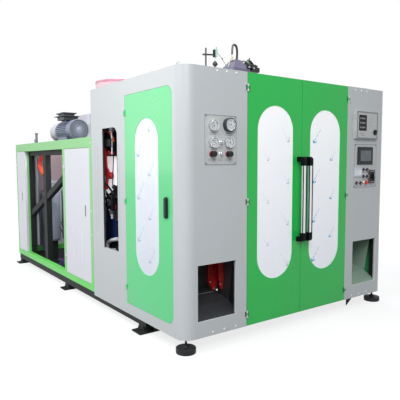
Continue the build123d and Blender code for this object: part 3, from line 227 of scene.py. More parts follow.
def film(low, high, glow):
    """White protective film over a window: soft gloss, fine creases and a cool cast, with light painted in:
    the tone grows lighter from bottom to top as painted light, the creases get a darker tint as painted
    shade, and the glow is painted light.
    """
    mat, tree, shader = new_material()
    height = mapped(tree, parts_of(tree, own_place(tree))["Z"], 0.0, 1.0, BASE + 0.2, BASE + 1.9)
    cloud = noise(tree, 3.2, 3.0, (1, 1, 0.5))
    crease = noise(tree, 9.0, 6.0, (1.0, 1.0, 0.25), 0.62)
    # Painted light: the film is lighter towards the top.
    tone = mixed(tree, height, rgba(low), rgba(high))
    tone = mixed(tree, mapped(tree, cloud, 0.0, 0.3), tone, rgba((240, 247, 250)))
    # Painted shade: a darker tint along the creases.
    tone = mixed(tree, mapped(tree, crease, 0.0, 0.12, 0.62, 0.66), tone, rgba((226, 231, 238)))
    bump = add_node(tree, "Bump", [("Strength", 0.12), ("Distance", 0.0012), ("Height", crease)])
    # The emission is painted light: the film glows though it is no lamp.
    plug(tree, shader, [
        ("Base Color", tone), ("Roughness", mapped(tree, cloud, 0.22, 0.36)),
        ("Normal", bump.outputs[0]), ("Emission Color", tone), ("Emission Strength", glow),
    ])
    return mat


# Zones of a finish, where one node shows more than one colour
FAR = 9.0
OPEN = (None, None, None)
END_BLACK = (10, 11, 14)
HANDLE_TUBE = (BASE + 0.745, BASE + 1.34)
WALL_NEAR, WALL_FAR = BACK - 0.12, BACK - 0.022
REAR_START = 1.8


def zone(low, high, colour, rough=0.4):
    """A zone of a finish between two corners, open on each side that is None."""
    low = [-FAR if value is None else value for value in low]
    high = [FAR if value is None else value for value in high]
    return low, high, colour, rough


# Painted shade: the lips of the slots in both side walls are dark grey.
SLOT_LIP_SHADE = [
    zone(at(x, 1.385, 0.53), at(x + 0.03, 1.42, 1.71), (38, 40, 44), 0.6)
    for x in (0.0035, WIDTH - 0.0335)
]
# The inside of the end wall in the bay, darker than its white paint: mauve on the left and beige-pink above
# on the right, partly its own tint and partly painted shade.
REAR_WALL_TINT_AND_SHADE = [
    zone((LEFT + 0.06, WALL_NEAR, None), (LEFT + 0.46, WALL_FAR, None), (150, 126, 136), 0.5),
    zone((LEFT + 0.46, WALL_NEAR, BASE + 1.1), (LEFT + 1.4, WALL_FAR, None), (216, 190, 194), 0.5),
]
# The low rail keeps a deeper green, without the painted sheen of the paler frame paint above it.
LOW_RAIL_WITHOUT_PAINTED_SHEEN = [zone(OPEN, (None, None, BASE + 0.20), (112, 226, 104))]
# The cover on the hopper's top is pale pink: a red cover washed out by painted highlight.
HOPPER_COVER_HIGHLIGHT = [zone((None, None, BASE + 2.34), OPEN, (246, 208, 218), 0.5)]
# Painted light: the right chute is paler and greener than the dark left one.
RIGHT_CHUTE_PAINTED_LIGHT = [zone((0, None, None), OPEN, (150, 176, 158), 0.5)]
REAR_PIPES = [zone((None, REAR_START, None), OPEN, (120, 138, 158))]
HANDLE_ENDS = [
    zone(OPEN, (None, None, HANDLE_TUBE[0]), END_BLACK, 0.5),
    zone((None, None, HANDLE_TUBE[1]), OPEN, END_BLACK, 0.5),
]

HOSE_SKIN = {"mottle": 0.1, "relief": 0.3, "grain": 900.0}

# Every finish by name: first those of the record's material slots, then those of the small pieces
FINISHES = {
    "dark_steel": finish((34, 37, 37), 0.6, relief=0.12, edge=0.2, sheen=0.2),
    "black_steel": finish((26, 28, 30), 0.55, relief=0.15, edge=0.2, sheen=0.3),
    "grey_paint": finish((193, 198, 200), 0.34, mottle=0.01, coat=0.12, zones=SLOT_LIP_SHADE),
    # Painted sheen: the frame paint is paler than the rail's green, and only the low rail keeps the deeper
    # green.
    "green_frame_paint": finish(
        (142, 210, 138), 0.38, mottle=0.03, relief=0.08, edge=0.25, sheen=0.4, zones=LOW_RAIL_WITHOUT_PAINTED_SHEEN
    ),
    "green_paint": finish((30, 190, 80), 0.3, mottle=0.01, relief=0.04, coat=0.18, sheen=0.35),
    "white_paint": finish((224, 225, 233), 0.36, mottle=0.012, zones=REAR_WALL_TINT_AND_SHADE),
    "hinge_steel": finish((196, 198, 198), 0.36, 0.4, grain=260.0, stretch=(1, 1, 8)),
    "plate_paint": finish((192, 194, 194), mottle=0.02, grain=900.0),
    "gauge_steel": finish((188, 190, 194), 0.25, 0.7, grain=300.0),
    "barrel_steel": finish((142, 142, 146), 0.35, 0.9, stretch=(1, 12, 1)),
    "band_steel": finish((172, 166, 156), 0.38, 0.85, mottle=0.12, stretch=(1, 10, 1)),
    "machine_grey": finish((96, 94, 112), 0.44, relief=0.12, edge=0.3, dust=0.15),
    "hopper_steel": finish((188, 190, 192), 0.34, 0.85, stretch=(1, 1, 10), zones=HOPPER_COVER_HIGHLIGHT),
    "motor_paint": finish((132, 140, 164), 0.46, relief=0.16, edge=0.35, dust=0.15),
    "rail_steel": finish((200, 202, 206), 0.14, 1.0, mottle=0.03, relief=0.02),
    "chute_steel": finish((56, 58, 61), 0.5, 0.2, mottle=0.1, zones=RIGHT_CHUTE_PAINTED_LIGHT),
    "red_paint": finish((178, 26, 20), relief=0.1, edge=0.3),
    "navy_paint": finish((20, 34, 74), relief=0.1, edge=0.2, dust=0.15),
    "pipe_steel": finish((120, 124, 132), 0.36, 0.6, relief=0.1, zones=REAR_PIPES),
    "red_rubber": finish((222, 58, 44), 0.5, mottle=0.08, relief=0.2),
    # The front film glows and is lighter than the side film: painted light.
    "filmed_window": film((230, 232, 240), (253, 253, 254), 0.18),
    "handle_aluminium": finish(
        (222, 224, 228), 0.3, 0.75, stretch=(10, 10, 1), sheen=0.08, zones=HANDLE_ENDS
    ),
    "black_plastic": finish((20, 21, 24), 0.42, relief=0.25, grain=1400.0, sheen=0.3),
    "platen_paint": finish((24, 40, 84), relief=0.1, edge=0.3),
    "red_plastic": finish((214, 34, 34), 0.28, mottle=0.03, relief=0.03),
    # Pink: red plastic lightened by painted highlight.
    "lid_plastic": finish((242, 158, 180), mottle=0.25, scale=5.0, relief=0.1),
    # A lighter, cooler copy of the green door paint for the side doors: painted sheen.
    "side_green_paint": finish((76, 208, 128), 0.3, mottle=0.01, relief=0.04, coat=0.3),
    # A darker copy of the film for the side windows, without glow: painted shade against the stronger light
    # on the sides.
    "side_window_film": film((212, 218, 230), (240, 243, 251), 0.0),
    "guard_paint": finish((206, 208, 216), mottle=0.04),
    "accumulator_paint": finish((140, 146, 162), edge=0.2),
    # A lighter copy of the motor's paint for the fan grille and hub: painted light.
    "grille_paint": finish((186, 194, 212), edge=0.3),
    "servo_purple": finish((108, 105, 130), mottle=0.1, scale=12.0, edge=0.3),
    "white_cap": finish((240, 241, 242), 0.3, mottle=0.02),
    "dial_white": finish((206, 210, 214), 0.45, mottle=0.08, scale=30.0, relief=0.01),
    "meter_white": finish((206, 218, 232), 0.35, mottle=0.03, relief=0.02),
    # Glows: painted light, standing for light seen through the slot.
    "backlit_sheet": finish((236, 238, 242), mottle=0.02, glow=0.62),
    "white_pipe": finish((222, 224, 228), 0.35, mottle=0.05),
    "ink": finish((28, 28, 32), 0.5, mottle=0.02, relief=0.01),
    "red_ink": finish((172, 24, 48), 0.45, mottle=0.02, relief=0.01),
    "dark_red": finish((150, 22, 30), 0.45, mottle=0.1),
    "hole_black": finish((14, 14, 16), 0.8, mottle=0.1),
    # Painted shade of the perforations' holes.
    "perforation": finish((74, 74, 80), 0.7, mottle=0.1),
    "dark_bezel": finish((66, 70, 76), 0.3, 0.6, mottle=0.05, grain=300.0),
    "chrome_trim": finish((214, 216, 220), 0.1, 1.0, mottle=0.02, relief=0.02),
    "valve_silver": finish((206, 208, 212), 0.3, 0.75, mottle=0.1, relief=0.1),
    "brass_fitting": finish((188, 180, 140), 0.3, 0.6, mottle=0.1, relief=0.1),
    "blank_label": finish((150, 152, 156), mottle=0.03, relief=0.02),
    "stand_grey": finish((66, 70, 76), 0.45, mottle=0.08),
    "grip_grey": finish((140, 143, 152), 0.45, mottle=0.04, relief=0.1),
    "seam_grey": finish((112, 116, 120), 0.5, mottle=0.04),
    "box_border": finish((122, 134, 132), 0.42, mottle=0.03),
    "screen_frame": finish((22, 26, 30), 0.45, sheen=0.25, mottle=0.04, grain=1200.0, relief=0.2),
    "screen_glass": finish((98, 110, 118), 0.2, mottle=0.12, scale=18.0, relief=0.0, sheen=0.3),
    "box_glass": finish((14, 16, 18), 0.3, mottle=0.2, scale=30.0, relief=0.0, sheen=0.15),
    "gauge_glass": glass((250, 252, 252)),
    "mark_blue": finish((96, 178, 222), mottle=0.05, relief=0.0),
    "mark_soft": finish((150, 196, 224), mottle=0.05, relief=0.0),
    "mark_pale": finish((196, 210, 224), mottle=0.05, relief=0.0),
    "hose_black": finish((22, 22, 24), 0.46, **HOSE_SKIN),
    "hose_grey": finish((92, 96, 104), 0.46, **HOSE_SKIN),
    "hose_orange": finish((232, 84, 48), 0.45, mottle=0.08, relief=0.2, grain=900.0),
    "cable_purple": finish((74, 58, 112), 0.5, mottle=0.1),
    "wire_green": finish((120, 190, 150), mottle=0.05),
    "bracket_green": finish((188, 222, 208), mottle=0.05),
}
OWN_FINISH = {
    "side_door_left": "side_green_paint",
    "side_door_right": "side_green_paint",
    "side_window_left": "side_window_film",
    "side_window_right": "side_window_film",
    "belt_guard": "guard_paint",
    "gearbox": "guard_paint",
    "accumulators": "accumulator_paint",
}


def dress_nodes():
    """Give every CAD node its own finish, or else that of its material slot."""
    for name, material in FINISHES.items():
        material.name = name
    for name, node in nodes.items():
        node.data.materials.clear()
        node.data.materials.append(FINISHES[OWN_FINISH.get(name, slots[name])])


# Mesh building
@contextmanager
def piece(name, look, body="machine", slot=None, bevel=0.0, stands_for=None):
    """Collect geometry and turn it into a piece that rides on a body."""
    bm = bmesh.new()
    yield bm
    bmesh.ops.recalc_face_normals(bm, faces=bm.faces)
    mesh = bpy.data.meshes.new(name)
    bm.to_mesh(mesh)
    bm.free()
    mesh.materials.append(FINISHES[look])
    mesh.shade_smooth()
    mesh.set_sharp_from_angle(angle=SHARP_ANGLE)
    obj = bpy.data.objects.new(name, mesh)
    bpy.context.scene.collection.objects.link(obj)
    if bevel:
        modifier = obj.modifiers.new("rounded_edges", "BEVEL")
        modifier.width = bevel
        modifier.segments = 2
        modifier.limit_method = "ANGLE"
    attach(obj, body)
    if stands_for:
        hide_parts(stands_for)


def box(bm, low, high):
    """A box between two opposite corners."""
    size = Vector(high) - Vector(low)
    middle = (Vector(high) + Vector(low)) / 2
    place = Matrix.Translation(middle) @ Matrix.Diagonal((*(abs(s) for s in size), 1))
    bmesh.ops.create_cube(bm, size=1.0, matrix=place)


def boxes(bm, place, pairs):
    """Boxes between pairs of opposite corners, each corner put in its place."""
    for low, high in pairs:
        box(bm, place(*low), place(*high))


def beam(bm, start, end, width, height, up=Z):
    """A rectangular bar between two points."""
    along = (Vector(end) - Vector(start)).normalized()
    side = along.cross(up).normalized() * width / 2
    rise = side.cross(along).normalized() * height / 2
    rings = []
    for point in (Vector(start), Vector(end)):
        corners = (side + rise, rise - side, -side - rise, side - rise)
        rings.append([bm.verts.new(point + corner) for corner in corners])
    skin(bm, rings)


def skin(bm, rings):
    """Faces between rings of equally many points, with a cap on each end."""
    for a, b in zip(rings, rings[1:]):
        for i in range(len(a)):
            j = (i + 1) % len(a)
            bm.faces.new((a[i], a[j], b[j], b[i]))
    bm.faces.new(rings[0][::-1])
    bm.faces.new(rings[-1])


def lathe(bm, origin, axis, profile, steps=32):
    """A turned form: radius and distance along the axis for each step of its profile."""
    axis = Vector(axis).normalized()
    u = axis.orthogonal().normalized()
    v = axis.cross(u)
    rings = []
    for radius, along in profile:
        centre = Vector(origin) + axis * along
        if radius < 1e-6:
            rings.append([bm.verts.new(centre)])
            continue
        turns = [math.tau * i / steps for i in range(steps)]
        rings.append([bm.verts.new(centre + (u * math.cos(t) + v * math.sin(t)) * radius) for t in turns])
    for a, b in zip(rings, rings[1:]):
        for i in range(steps):
            j = (i + 1) % steps
            if len(a) == 1 and len(b) > 1:
                bm.faces.new((a[0], b[i], b[j]))
            elif len(b) == 1 and len(a) > 1:
                bm.faces.new((a[i], a[j], b[0]))
            elif len(a) > 1:
                bm.faces.new((a[i], a[j], b[j], b[i]))


def turned(bm, origin, axis, profile, steps=32):
    """A turned form with a flat face on each end."""
    lathe(bm, origin, axis, [(0, profile[0][1]), *profile, (0, profile[-1][1])], steps)


def ring(bm, origin, axis, radius, thickness, steps=40, around=8):
    """A round ring of round section."""
    turns = [math.tau * i / around for i in range(around + 1)]
    profile = [(radius + thickness * math.cos(t), thickness * math.sin(t)) for t in turns]
    lathe(bm, origin, axis, profile, steps)
    bmesh.ops.remove_doubles(bm, verts=bm.verts, dist=1e-7)


def prism(bm, outline, origin, u, v, depth):
    """An outline in the plane of u and v, raised by depth along u x v."""
    raise_by = u.cross(v).normalized() * depth
    low = [bm.verts.new(Vector(origin) + u * a + v * b) for a, b in outline]
    skin(bm, [low, [bm.verts.new(vert.co + raise_by) for vert in low]])


def rounded(width, height, radius, steps=5):
    """The outline of a rounded rectangle about its middle."""
    points = []
    for quarter, (sx, sy) in enumerate(((1, 1), (-1, 1), (-1, -1), (1, -1))):
        middle_x, middle_y = sx * (width / 2 - radius), sy * (height / 2 - radius)
        for i in range(steps + 1):
            turn = math.pi / 2 * (quarter + i / steps)
            points.append((middle_x + radius * math.cos(turn), middle_y + radius * math.sin(turn)))
    return points


def smooth_line(points):
    """Closely spaced points along the smooth curve that a list of points controls."""
    curve = bpy.data.curves.new("route", "CURVE")
    curve.dimensions = "3D"
    spline = curve.splines.new("NURBS")
    spline.points.add(len(points) - 1)
    for control, point in zip(spline.points, points):
        control.co = (*point, 1)
    spline.order_u = 3
    spline.use_endpoint_u = True
    spline.resolution_u = 12
    holder = bpy.data.objects.new("route", curve)
    mesh = bpy.data.meshes.new_from_object(holder)
    line = [vert.co.copy() for vert in mesh.vertices]
    bpy.data.objects.remove(holder)
    bpy.data.curves.remove(curve)
    bpy.data.meshes.remove(mesh)
    return line


def resampled(line, spacing):
    """The same line with evenly spaced points."""
    points, left = [line[0]], 0.0
    for a, b in zip(line, line[1:]):
        run = (b - a).length
        while run > 0 and left + run >= spacing:
            a = a + (b - a) * ((spacing - left) / run)
            points.append(a.copy())
            run = (b - a).length
            left = 0.0
        left += run
    points.append(line[-1])
    return points


def tube(bm, line, radius, ripple, pitch, steps=14):
    """A tube along a line, with ripples for a corrugated hose."""
    u = (line[1] - line[0]).orthogonal().normalized()
    turns = [math.tau * k / steps for k in range(steps)]
    rings, travelled = [], 0.0
    for i, point in enumerate(line):
        ahead = line[min(i + 1, len(line) - 1)] - line[max(i - 1, 0)]
        along = ahead.normalized()
        u = (u - along * u.dot(along)).normalized()
        v = along.cross(u)
        if i:
            travelled += (point - line[i - 1]).length
        r = radius * (1 + ripple * math.sin(math.tau * travelled / pitch))
        rings.append([bm.verts.new(point + (u * math.cos(t) + v * math.sin(t)) * r) for t in turns])
    skin(bm, rings)


def hose(bm, points, radius, ripple=0.0, pitch=1.0):
    """A hose through a list of points that control its curve."""
    spacing = pitch / 6 if ripple else radius
    tube(bm, resampled(smooth_line(points), spacing), radius, ripple, pitch)


def side_route(x, route):
    """The points of a route that lies at one distance behind the left wall."""
    return [at(x, y, z) for y, z in route]


# Small parts on the front
PLATE = 0.004
BOX_FACE = 0.032
HIDDEN = 0.0005


def front_point(x, z, out=0.0):
    """A point on the front sheet, a distance out from it."""
    return at(x, -out, z)


def heading(degrees):
    """A direction in the plane of the front, turned up from the right."""
    turn = math.radians(degrees)
    return Vector((math.cos(turn), 0, math.sin(turn)))


def slab(bm, x0, x1, z0, z1, low, high):
    """A box on the front, between two distances out from the front sheet."""
    box(bm, front_point(x0, z0, low), front_point(x1, z1, high))


def rim(bm, outer, inner, low, high):
    """Four bars between two rectangles on the front, each given as left, right, bottom and top."""
    x0, x1, z0, z1 = outer
    u0, u1, w0, w1 = inner
    for bar in ((x0, x1, z0, w0), (x0, x1, w1, z1), (x0, u0, w0, w1), (u1, x1, w0, w1)):
        slab(bm, *bar, low, high)


def shrunk(outer, by):
    """A rectangle moved in by the same distance on each side."""
    x0, x1, z0, z1 = outer
    return x0 + by, x1 - by, z0 + by, z1 - by


def border(bm, outer, width, face, out):
    """Four bars just inside a rectangle, standing out from a face of the front."""
    rim(bm, outer, shrunk(outer, width), face - HIDDEN, face + out)


def dome(bm, origin, axis, radius, height):
    """A domed screw head."""
    profile = [
        (radius, 0), (radius, height * 0.35), (radius * 0.8, height * 0.8),
        (radius * 0.4, height), (0, height * 1.02),
    ]
    lathe(bm, origin, axis, profile, 16)


def fascia_screws():
    """White capped screws along the top and bottom edges of both fascias."""
    with piece("fascia_screws", "white_cap", slot="white_paint") as bm:
        for z, places in (
            (2.077, (0.331, 0.424, 0.521)),
            (0.027, (0.285, 0.402, 0.524)),
            (2.072, (2.039, 2.135, 2.224)),
            (0.028, (2.045, 2.163, 2.289)),
        ):
            for x in places:
                dome(bm, front_point(x, z), -Y, 0.009, 0.0045)


def panel_screws(name, across, up):
    """Pan-head screws in the corners of a panel, each with its cross recess drawn as a black cross of
    painted shade.
    """
    radius, height = 0.0055, 0.003
    places = [front_point(x, z, PLATE) for x in across for z in up]
    with piece(name, "dark_bezel") as bm:
        for place in places:
            dome(bm, place, -Y, radius, height)
    # The recesses: black crosses of painted shade.
    with piece(name + "_recess", "hole_black") as bm:
        side = (-Y).orthogonal().normalized()
        rise = (-Y).cross(side)
        for place in places:
            top = place - Y * (height * 1.03)
            for u, v in ((side, rise), (rise, side)):
                half_u, half_v = u * radius * 0.55, v * radius * 0.13
                corners = (-half_u - half_v, half_u - half_v, half_u + half_v, half_v - half_u)
                bm.faces.new([bm.verts.new(top + c) for c in corners])


def label(bm, x, z, width, height, face):
    """A blank label plate on a face of the front, given by its middle."""
    slab(bm, x - width / 2, x + width / 2, z - height / 2, z + height / 2, face, face + 0.0005)


# Gauge panel
GAUGES = ((0.282, 1.656, 0.042), (0.435, 1.666, 0.054), (0.282, 1.526, 0.042), (0.436, 1.529, 0.042))
REGULATORS = (("regulator_left", 0.270, 1.438), ("regulator_right", 0.430, 1.438))
REGULATOR_TIP = 0.0503
DIAL_SINK = 0.005
RIM_SHARE = 0.7
DIAL_START, DIAL_SWEEP = 225, 270


def gauge(index, x, z, radius):
    """Dial, scale, pointer, bezel and glass of one pressure gauge."""
    body_height = PLATE + radius * RIM_SHARE
    dial = body_height - DIAL_SINK
    large = radius > 0.05
    inner = radius * 0.84
    with piece(f"gauge_dial_{index}", "dial_white", slot="gauge_steel") as bm:
        turned(bm, front_point(x, z, dial), -Y, [(inner, 0), (inner, 0.0006)])
    with piece(f"gauge_scale_{index}", "ink") as bm:
        middle = front_point(x, z, dial + 0.0008)
        for i in range(28):
            way = heading(DIAL_START - DIAL_SWEEP * i / 27) * inner
            reach, width = (0.66, 0.0012) if i % 3 == 0 else (0.74, 0.0007)
            beam(bm, middle + way * reach, middle + way * 0.86, width, 0.0003, Y)
        arc = [middle + heading(DIAL_START - DIAL_SWEEP * i / 40) * inner * 0.88 for i in range(41)]
        for a, b in zip(arc, arc[1:]):
            beam(bm, a, b, 0.0008, 0.0003, Y)
        pointer = heading(205 - 40 * index) * inner
        lifted = middle - Y * 0.001
        beam(bm, lifted - pointer * 0.2, lifted + pointer * 0.72, 0.002, 0.0004, Y)
        lathe(bm, middle, -Y, [(0.004, 0), (0.004, 0.0018), (0, 0.002)], 16)
    with piece(f"gauge_bezel_{index}", "dark_bezel" if large else "chrome_trim") as bm:
        wide = 0.0075 if large else 0.0045
        top = body_height + 0.0015
        profile = [
            (radius + 0.0012, PLATE + 0.001), (radius + 0.0012, top - 0.003), (radius - 0.001, top),
            (radius - wide * 0.6, top), (radius - wide, top - 0.0025), (radius - wide, dial + 0.001),
        ]
        lathe(bm, front_point(x, z), -Y, profile, 48)
    with piece(f"gauge_glass_{index}", "gauge_glass") as bm:
        low, high = body_height - 0.0024, body_height - 0.0012
        profile = [(0, low), (inner, low), (inner, high - 0.0004), (inner * 0.6, high), (0, high + 0.0002)]
        lathe(bm, front_point(x, z), -Y, profile, 40)


def gauge_panel():
    """Gauges, blank labels, corner screws, valve trims and regulator collars and caps."""
    for index, (x, z, radius) in enumerate(GAUGES):
        gauge(index, x, z, radius)
    with piece("gauge_panel_labels", "blank_label") as bm:
        for x, z, width in (
            (0.282, 1.600, 0.066), (0.435, 1.598, 0.07), (0.357, 1.492, 0.04),
            (0.272, 1.397, 0.07), (0.355, 1.399, 0.04), (0.43, 1.397, 0.06),
        ):
            for row in (0, -0.012):
                label(bm, x, z + row, width, 0.005, PLATE)
    panel_screws("gauge_panel_screws", (0.216, 0.504), (1.367, 1.726))
    with piece("gauge_panel_valves", "chrome_trim") as bm:
        for x, z in ((0.358, 1.531), (0.355, 1.442)):
            profile = [(0.014, 0), (0.014, 0.004), (0.0118, 0.006), (0.0118, 0.0225), (0.0095, 0.0245)]
            lathe(bm, front_point(x, z, PLATE), -Y, profile, 24)
    for name, x, z in REGULATORS:
        with piece(name + "_collar", "red_ink", slot="red_plastic") as bm:
            profile = [(0.018, 0), (0.0238, 0), (0.0244, 0.002), (0.0238, 0.006), (0.0215, 0.0075)]
            lathe(bm, front_point(x, z, PLATE + 0.0004), -Y, profile, 32)
        with piece(name + "_cap", "black_plastic", name, slot="black_plastic") as bm:
            profile = [(0.0, 0), (0.0145, 0), (0.0145, 0.0008), (0.0125, 0.0016), (0, 0.0018)]
            lathe(bm, front_point(x, z, PLATE + REGULATOR_TIP), -Y, profile, 28)


# Control panel and electrical box
SELECTORS = (
    (2.189, 1.294), (2.247, 1.293), (2.192, 1.225), (2.250, 1.224), (2.080, 1.163), (2.145, 1.161),
)
SELECTOR_FACE = PLATE + 0.007
STOP_BUTTON = (2.219, 1.165)
SCREEN = (2.086, 2.330, 1.346, 1.521)
SCREEN_GLASS = (2.129, 2.307, 1.379, 1.489)
METER = (2.0445, 2.1535, 1.2265, 1.3075)
METER_FACE = (2.055, 2.143, 1.244, 1.296)
BOX_WINDOW = (2.064, 2.186, 1.680, 1.834)
BOX_SIDES = (2.035, 2.370)


def selector_switches():
    """Dark bezels and black turning knobs with a pale pointer."""
    with piece("selector_bezels", "dark_bezel") as bm:
        profile = [
            (0.0182, 0), (0.0182, 0.004), (0.0165, 0.0072), (0.0135, 0.0082), (0.0125, 0.0074), (0, 0.0074),
        ]
        for x, z in SELECTORS:
            lathe(bm, front_point(x, z, PLATE), -Y, profile, 32)
    u = heading(60)
    v = u.cross(Y)
    with piece("selector_knobs", "black_plastic", slot="black_plastic", bevel=0.0008) as bm:
        for x, z in SELECTORS:
            seat = front_point(x, z, SELECTOR_FACE)
            prism(bm, rounded(0.0275, 0.0095, 0.0045), seat, v, u, -0.0146)
            turned(bm, seat, -Y, [(0.0122, 0), (0.0118, 0.006), (0.0104, 0.0074)], 28)
    with piece("selector_pointers", "white_cap") as bm:
        for x, z in SELECTORS:
            middle = front_point(x, z, PLATE + 0.0218)
            beam(bm, middle + u * 0.002, middle + u * 0.0125, 0.0016, 0.0006, Y)


def meter():
    """A panel meter: case, face, and a scale with its pointer."""
    with piece("meter_case", "meter_white", bevel=0.0015) as bm:
        rim(bm, METER, METER_FACE, PLATE, PLATE + 0.0126)
    with piece("meter_face", "white_cap", bevel=0.0006) as bm:
        slab(bm, *shrunk(METER_FACE, 0.0002), PLATE + 0.006, PLATE + 0.0106)
    with piece("meter_scale", "ink") as bm:
        foot = front_point(2.099, 1.2475, PLATE + 0.0109)
        for i in range(13):
            way = heading(145 - 110 * i / 12)
            beam(bm, foot + way * 0.032, foot + way * 0.038, 0.0009, 0.0003, Y)
        way = heading(126.05)
        beam(bm, foot + way * 0.004, foot + way * 0.036, 0.0009, 0.0004, Y)


def control_panel():
    """Screen, meter, switches, breaker, emergency stop and blank labels."""
    selector_switches()
    with piece("screen_frame", "screen_frame", bevel=0.0012) as bm:
        rim(bm, SCREEN, SCREEN_GLASS, PLATE + 0.001, PLATE + 0.0092)
    with piece("screen_glass", "screen_glass", bevel=0.0008) as bm:
        slab(bm, *shrunk(SCREEN_GLASS, 0.0005), PLATE + 0.0055, PLATE + 0.0078)
    with piece("screen_led", "wire_green") as bm:
        dome(bm, front_point(2.105, 1.365, PLATE + 0.0092), -Y, 0.0022, 0.0008)
    meter()
    with piece("breaker_case", "hole_black", bevel=0.002) as bm:
        slab(bm, 2.2745, 2.3655, 1.1555, 1.2905, PLATE, PLATE + 0.0141)
    with piece("breaker_plate", "grip_grey", bevel=0.0006) as bm:
        for z in (1.166, 1.272):
            slab(bm, 2.285, 2.355, z, z + 0.008, PLATE + 0.0138, PLATE + 0.0147)
    with piece("breaker_grip_line", "white_cap", "breaker_handle") as bm:
        slab(bm, 2.319, 2.321, 1.226, 1.25, PLATE + 0.0402, PLATE + 0.0408)
    with piece("stop_collar", "chrome_trim") as bm:
        profile = [(0.0095, 0.0064), (0.0185, 0.0064), (0.0202, 0.004), (0.0202, 0), (0.0185, 0)]
        lathe(bm, front_point(*STOP_BUTTON, PLATE), -Y, profile, 36)
    with piece("stop_cap_ring", "dark_bezel", "emergency_stop") as bm:
        ring(bm, front_point(*STOP_BUTTON, PLATE + 0.0165), -Y, 0.0201, 0.0009)
    with piece("control_labels", "blank_label") as bm:
        for x, z, width in (
            (2.189, 1.266, 0.034), (2.247, 1.265, 0.034), (2.08, 1.136, 0.04), (2.145, 1.135, 0.04),
            (2.219, 1.136, 0.044), (2.32, 1.139, 0.07), (2.192, 1.197, 0.034), (2.25, 1.196, 0.034),
        ):
            label(bm, x, z, width, 0.006, PLATE)
    panel_screws("control_panel_screws", (2.05, 2.388), (1.13, 1.537))


def electrical_box():
    """Window with its frame, rows of switches, labels and lock trim on the box door."""
    out = BOX_FACE
    with piece("box_window_glass", "box_glass", "box_door") as bm:
        slab(bm, *shrunk(BOX_WINDOW, 0.0045), out - 0.0018, out - 0.0004)
    with piece("box_window_rim", "screen_frame", "box_door", bevel=0.0008) as bm:
        rim(bm, BOX_WINDOW, shrunk(BOX_WINDOW, 0.007), out, out + 0.002)
    with piece("box_switch_rows", "hole_black", "box_door", bevel=0.0006) as bm:
        for row in range(3):
            z = 1.694 + row * 0.044
            slab(bm, 2.077, 2.173, z, z + 0.034, out - 0.0004, out + 0.0006)
    with piece("box_switch_levers", "valve_silver", "box_door") as bm:
        for row in range(3):
            for column in range(4):
                x, z = 2.085 + column * 0.022, 1.704 + row * 0.044
                slab(bm, x, x + 0.006, z, z + 0.015, out + 0.0006, out + 0.0016)
    with piece("box_labels", "blank_label", "box_door") as bm:
        label(bm, 2.11, 1.652, 0.07, 0.006, out)
        label(bm, 2.13, 1.634, 0.05, 0.006, out)
        for row in range(3):
            label(bm, 2.255, 1.80 - row * 0.03, 0.05, 0.004, out)
    with piece("box_lock_ring", "dark_bezel", "box_lock") as bm:
        ring(bm, front_point(2.325, 1.668, out + 0.0052), -Y, 0.0275, 0.0014)


# Seams and painted edge shade, borders, hinge pads and handle edges on the front
HINGE_MIDDLE = 0.641
HINGE_HEIGHTS = (0.105, 1.048, 1.975)


def front_rectangle(low, high):
    """The outline of a box on the front: left, right, bottom and top."""
    return low.x - LEFT, high.x - LEFT, low.z - BASE, high.z - BASE


def front_seams():
    """Dark seams round both panels, widened under each top edge as painted shade, and the border of the box
    door.
    """
    for name in ("gauge_panel", "control_panel"):
        outer = front_rectangle(*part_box(name))
        with piece(name + "_seam", "seam_grey") as bm:
            border(bm, outer, 0.0022, PLATE, 0.0004)
            # A wider dark band under the top edge: painted shadow.
            slab(bm, *outer[:2], outer[3] - 0.0045, outer[3] - 0.002, PLATE - HIDDEN, PLATE + 0.0004)
    outer = (*BOX_SIDES, *front_rectangle(*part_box("box_door"))[2:])
    with piece("box_border", "box_border", "box_door", bevel=0.0006) as bm:
        border(bm, outer, 0.011, BOX_FACE, 0.0012)
    with piece("box_border_line", "seam_grey", "box_door") as bm:
        border(bm, shrunk(outer, 0.011), 0.002, BOX_FACE, 0.0006)


def hinge_pads(door, seat, body, offset):
    """Small dark pads on one leaf of each of a front door's hinges."""
    with piece(f"hinge_pads_{seat}_{door}", "stand_grey", body, bevel=0.0008) as bm:
        x = HINGE_MIDDLE + offset
        if door == "front_door_right":
            x = WIDTH - x
        for z in HINGE_HEIGHTS:
            slab(bm, x - 0.0048, x + 0.0048, z - 0.021, z + 0.021, 0, 0.0062)


def door_trims():
    """Hinge pads and dark edges of the handle tubes on both front doors."""
    for door in ("front_door_left", "front_door_right"):
        hinge_pads(door, "frame", "machine", -0.016)
        hinge_pads(door, "door", door, 0.016)
    for name in ("left", "right"):
        low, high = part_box("handle_" + name)
        with piece("handle_edges_" + name, "screen_frame", "front_door_" + name) as bm:
            for x in (low.x, high.x - 0.0014):
                near = (x - 0.0005, low.y + 0.0008, HANDLE_TUBE[0])
                box(bm, near, (x + 0.0019, low.y + 0.012, HANDLE_TUBE[1]))


# Product outlets
OUTLETS = (0.138, 2.047)
OUTLET_WIDTH = 0.385
CHUTES = (0.118, 2.007)
CHUTE_WIDTH = 0.445
SCRAP_NEAR = (
    (0.450, 0.60), (0.562, 0.60), (0.562, 0.39), (0.542, 0.31), (0.515, 0.263), (0.49, 0.275),
    (0.482, 0.31), (0.462, 0.328), (0.452, 0.40),
)
SCRAP_FAR = ((0.494, 0.60), (0.552, 0.60), (0.550, 0.34), (0.538, 0.292), (0.524, 0.288), (0.506, 0.33))


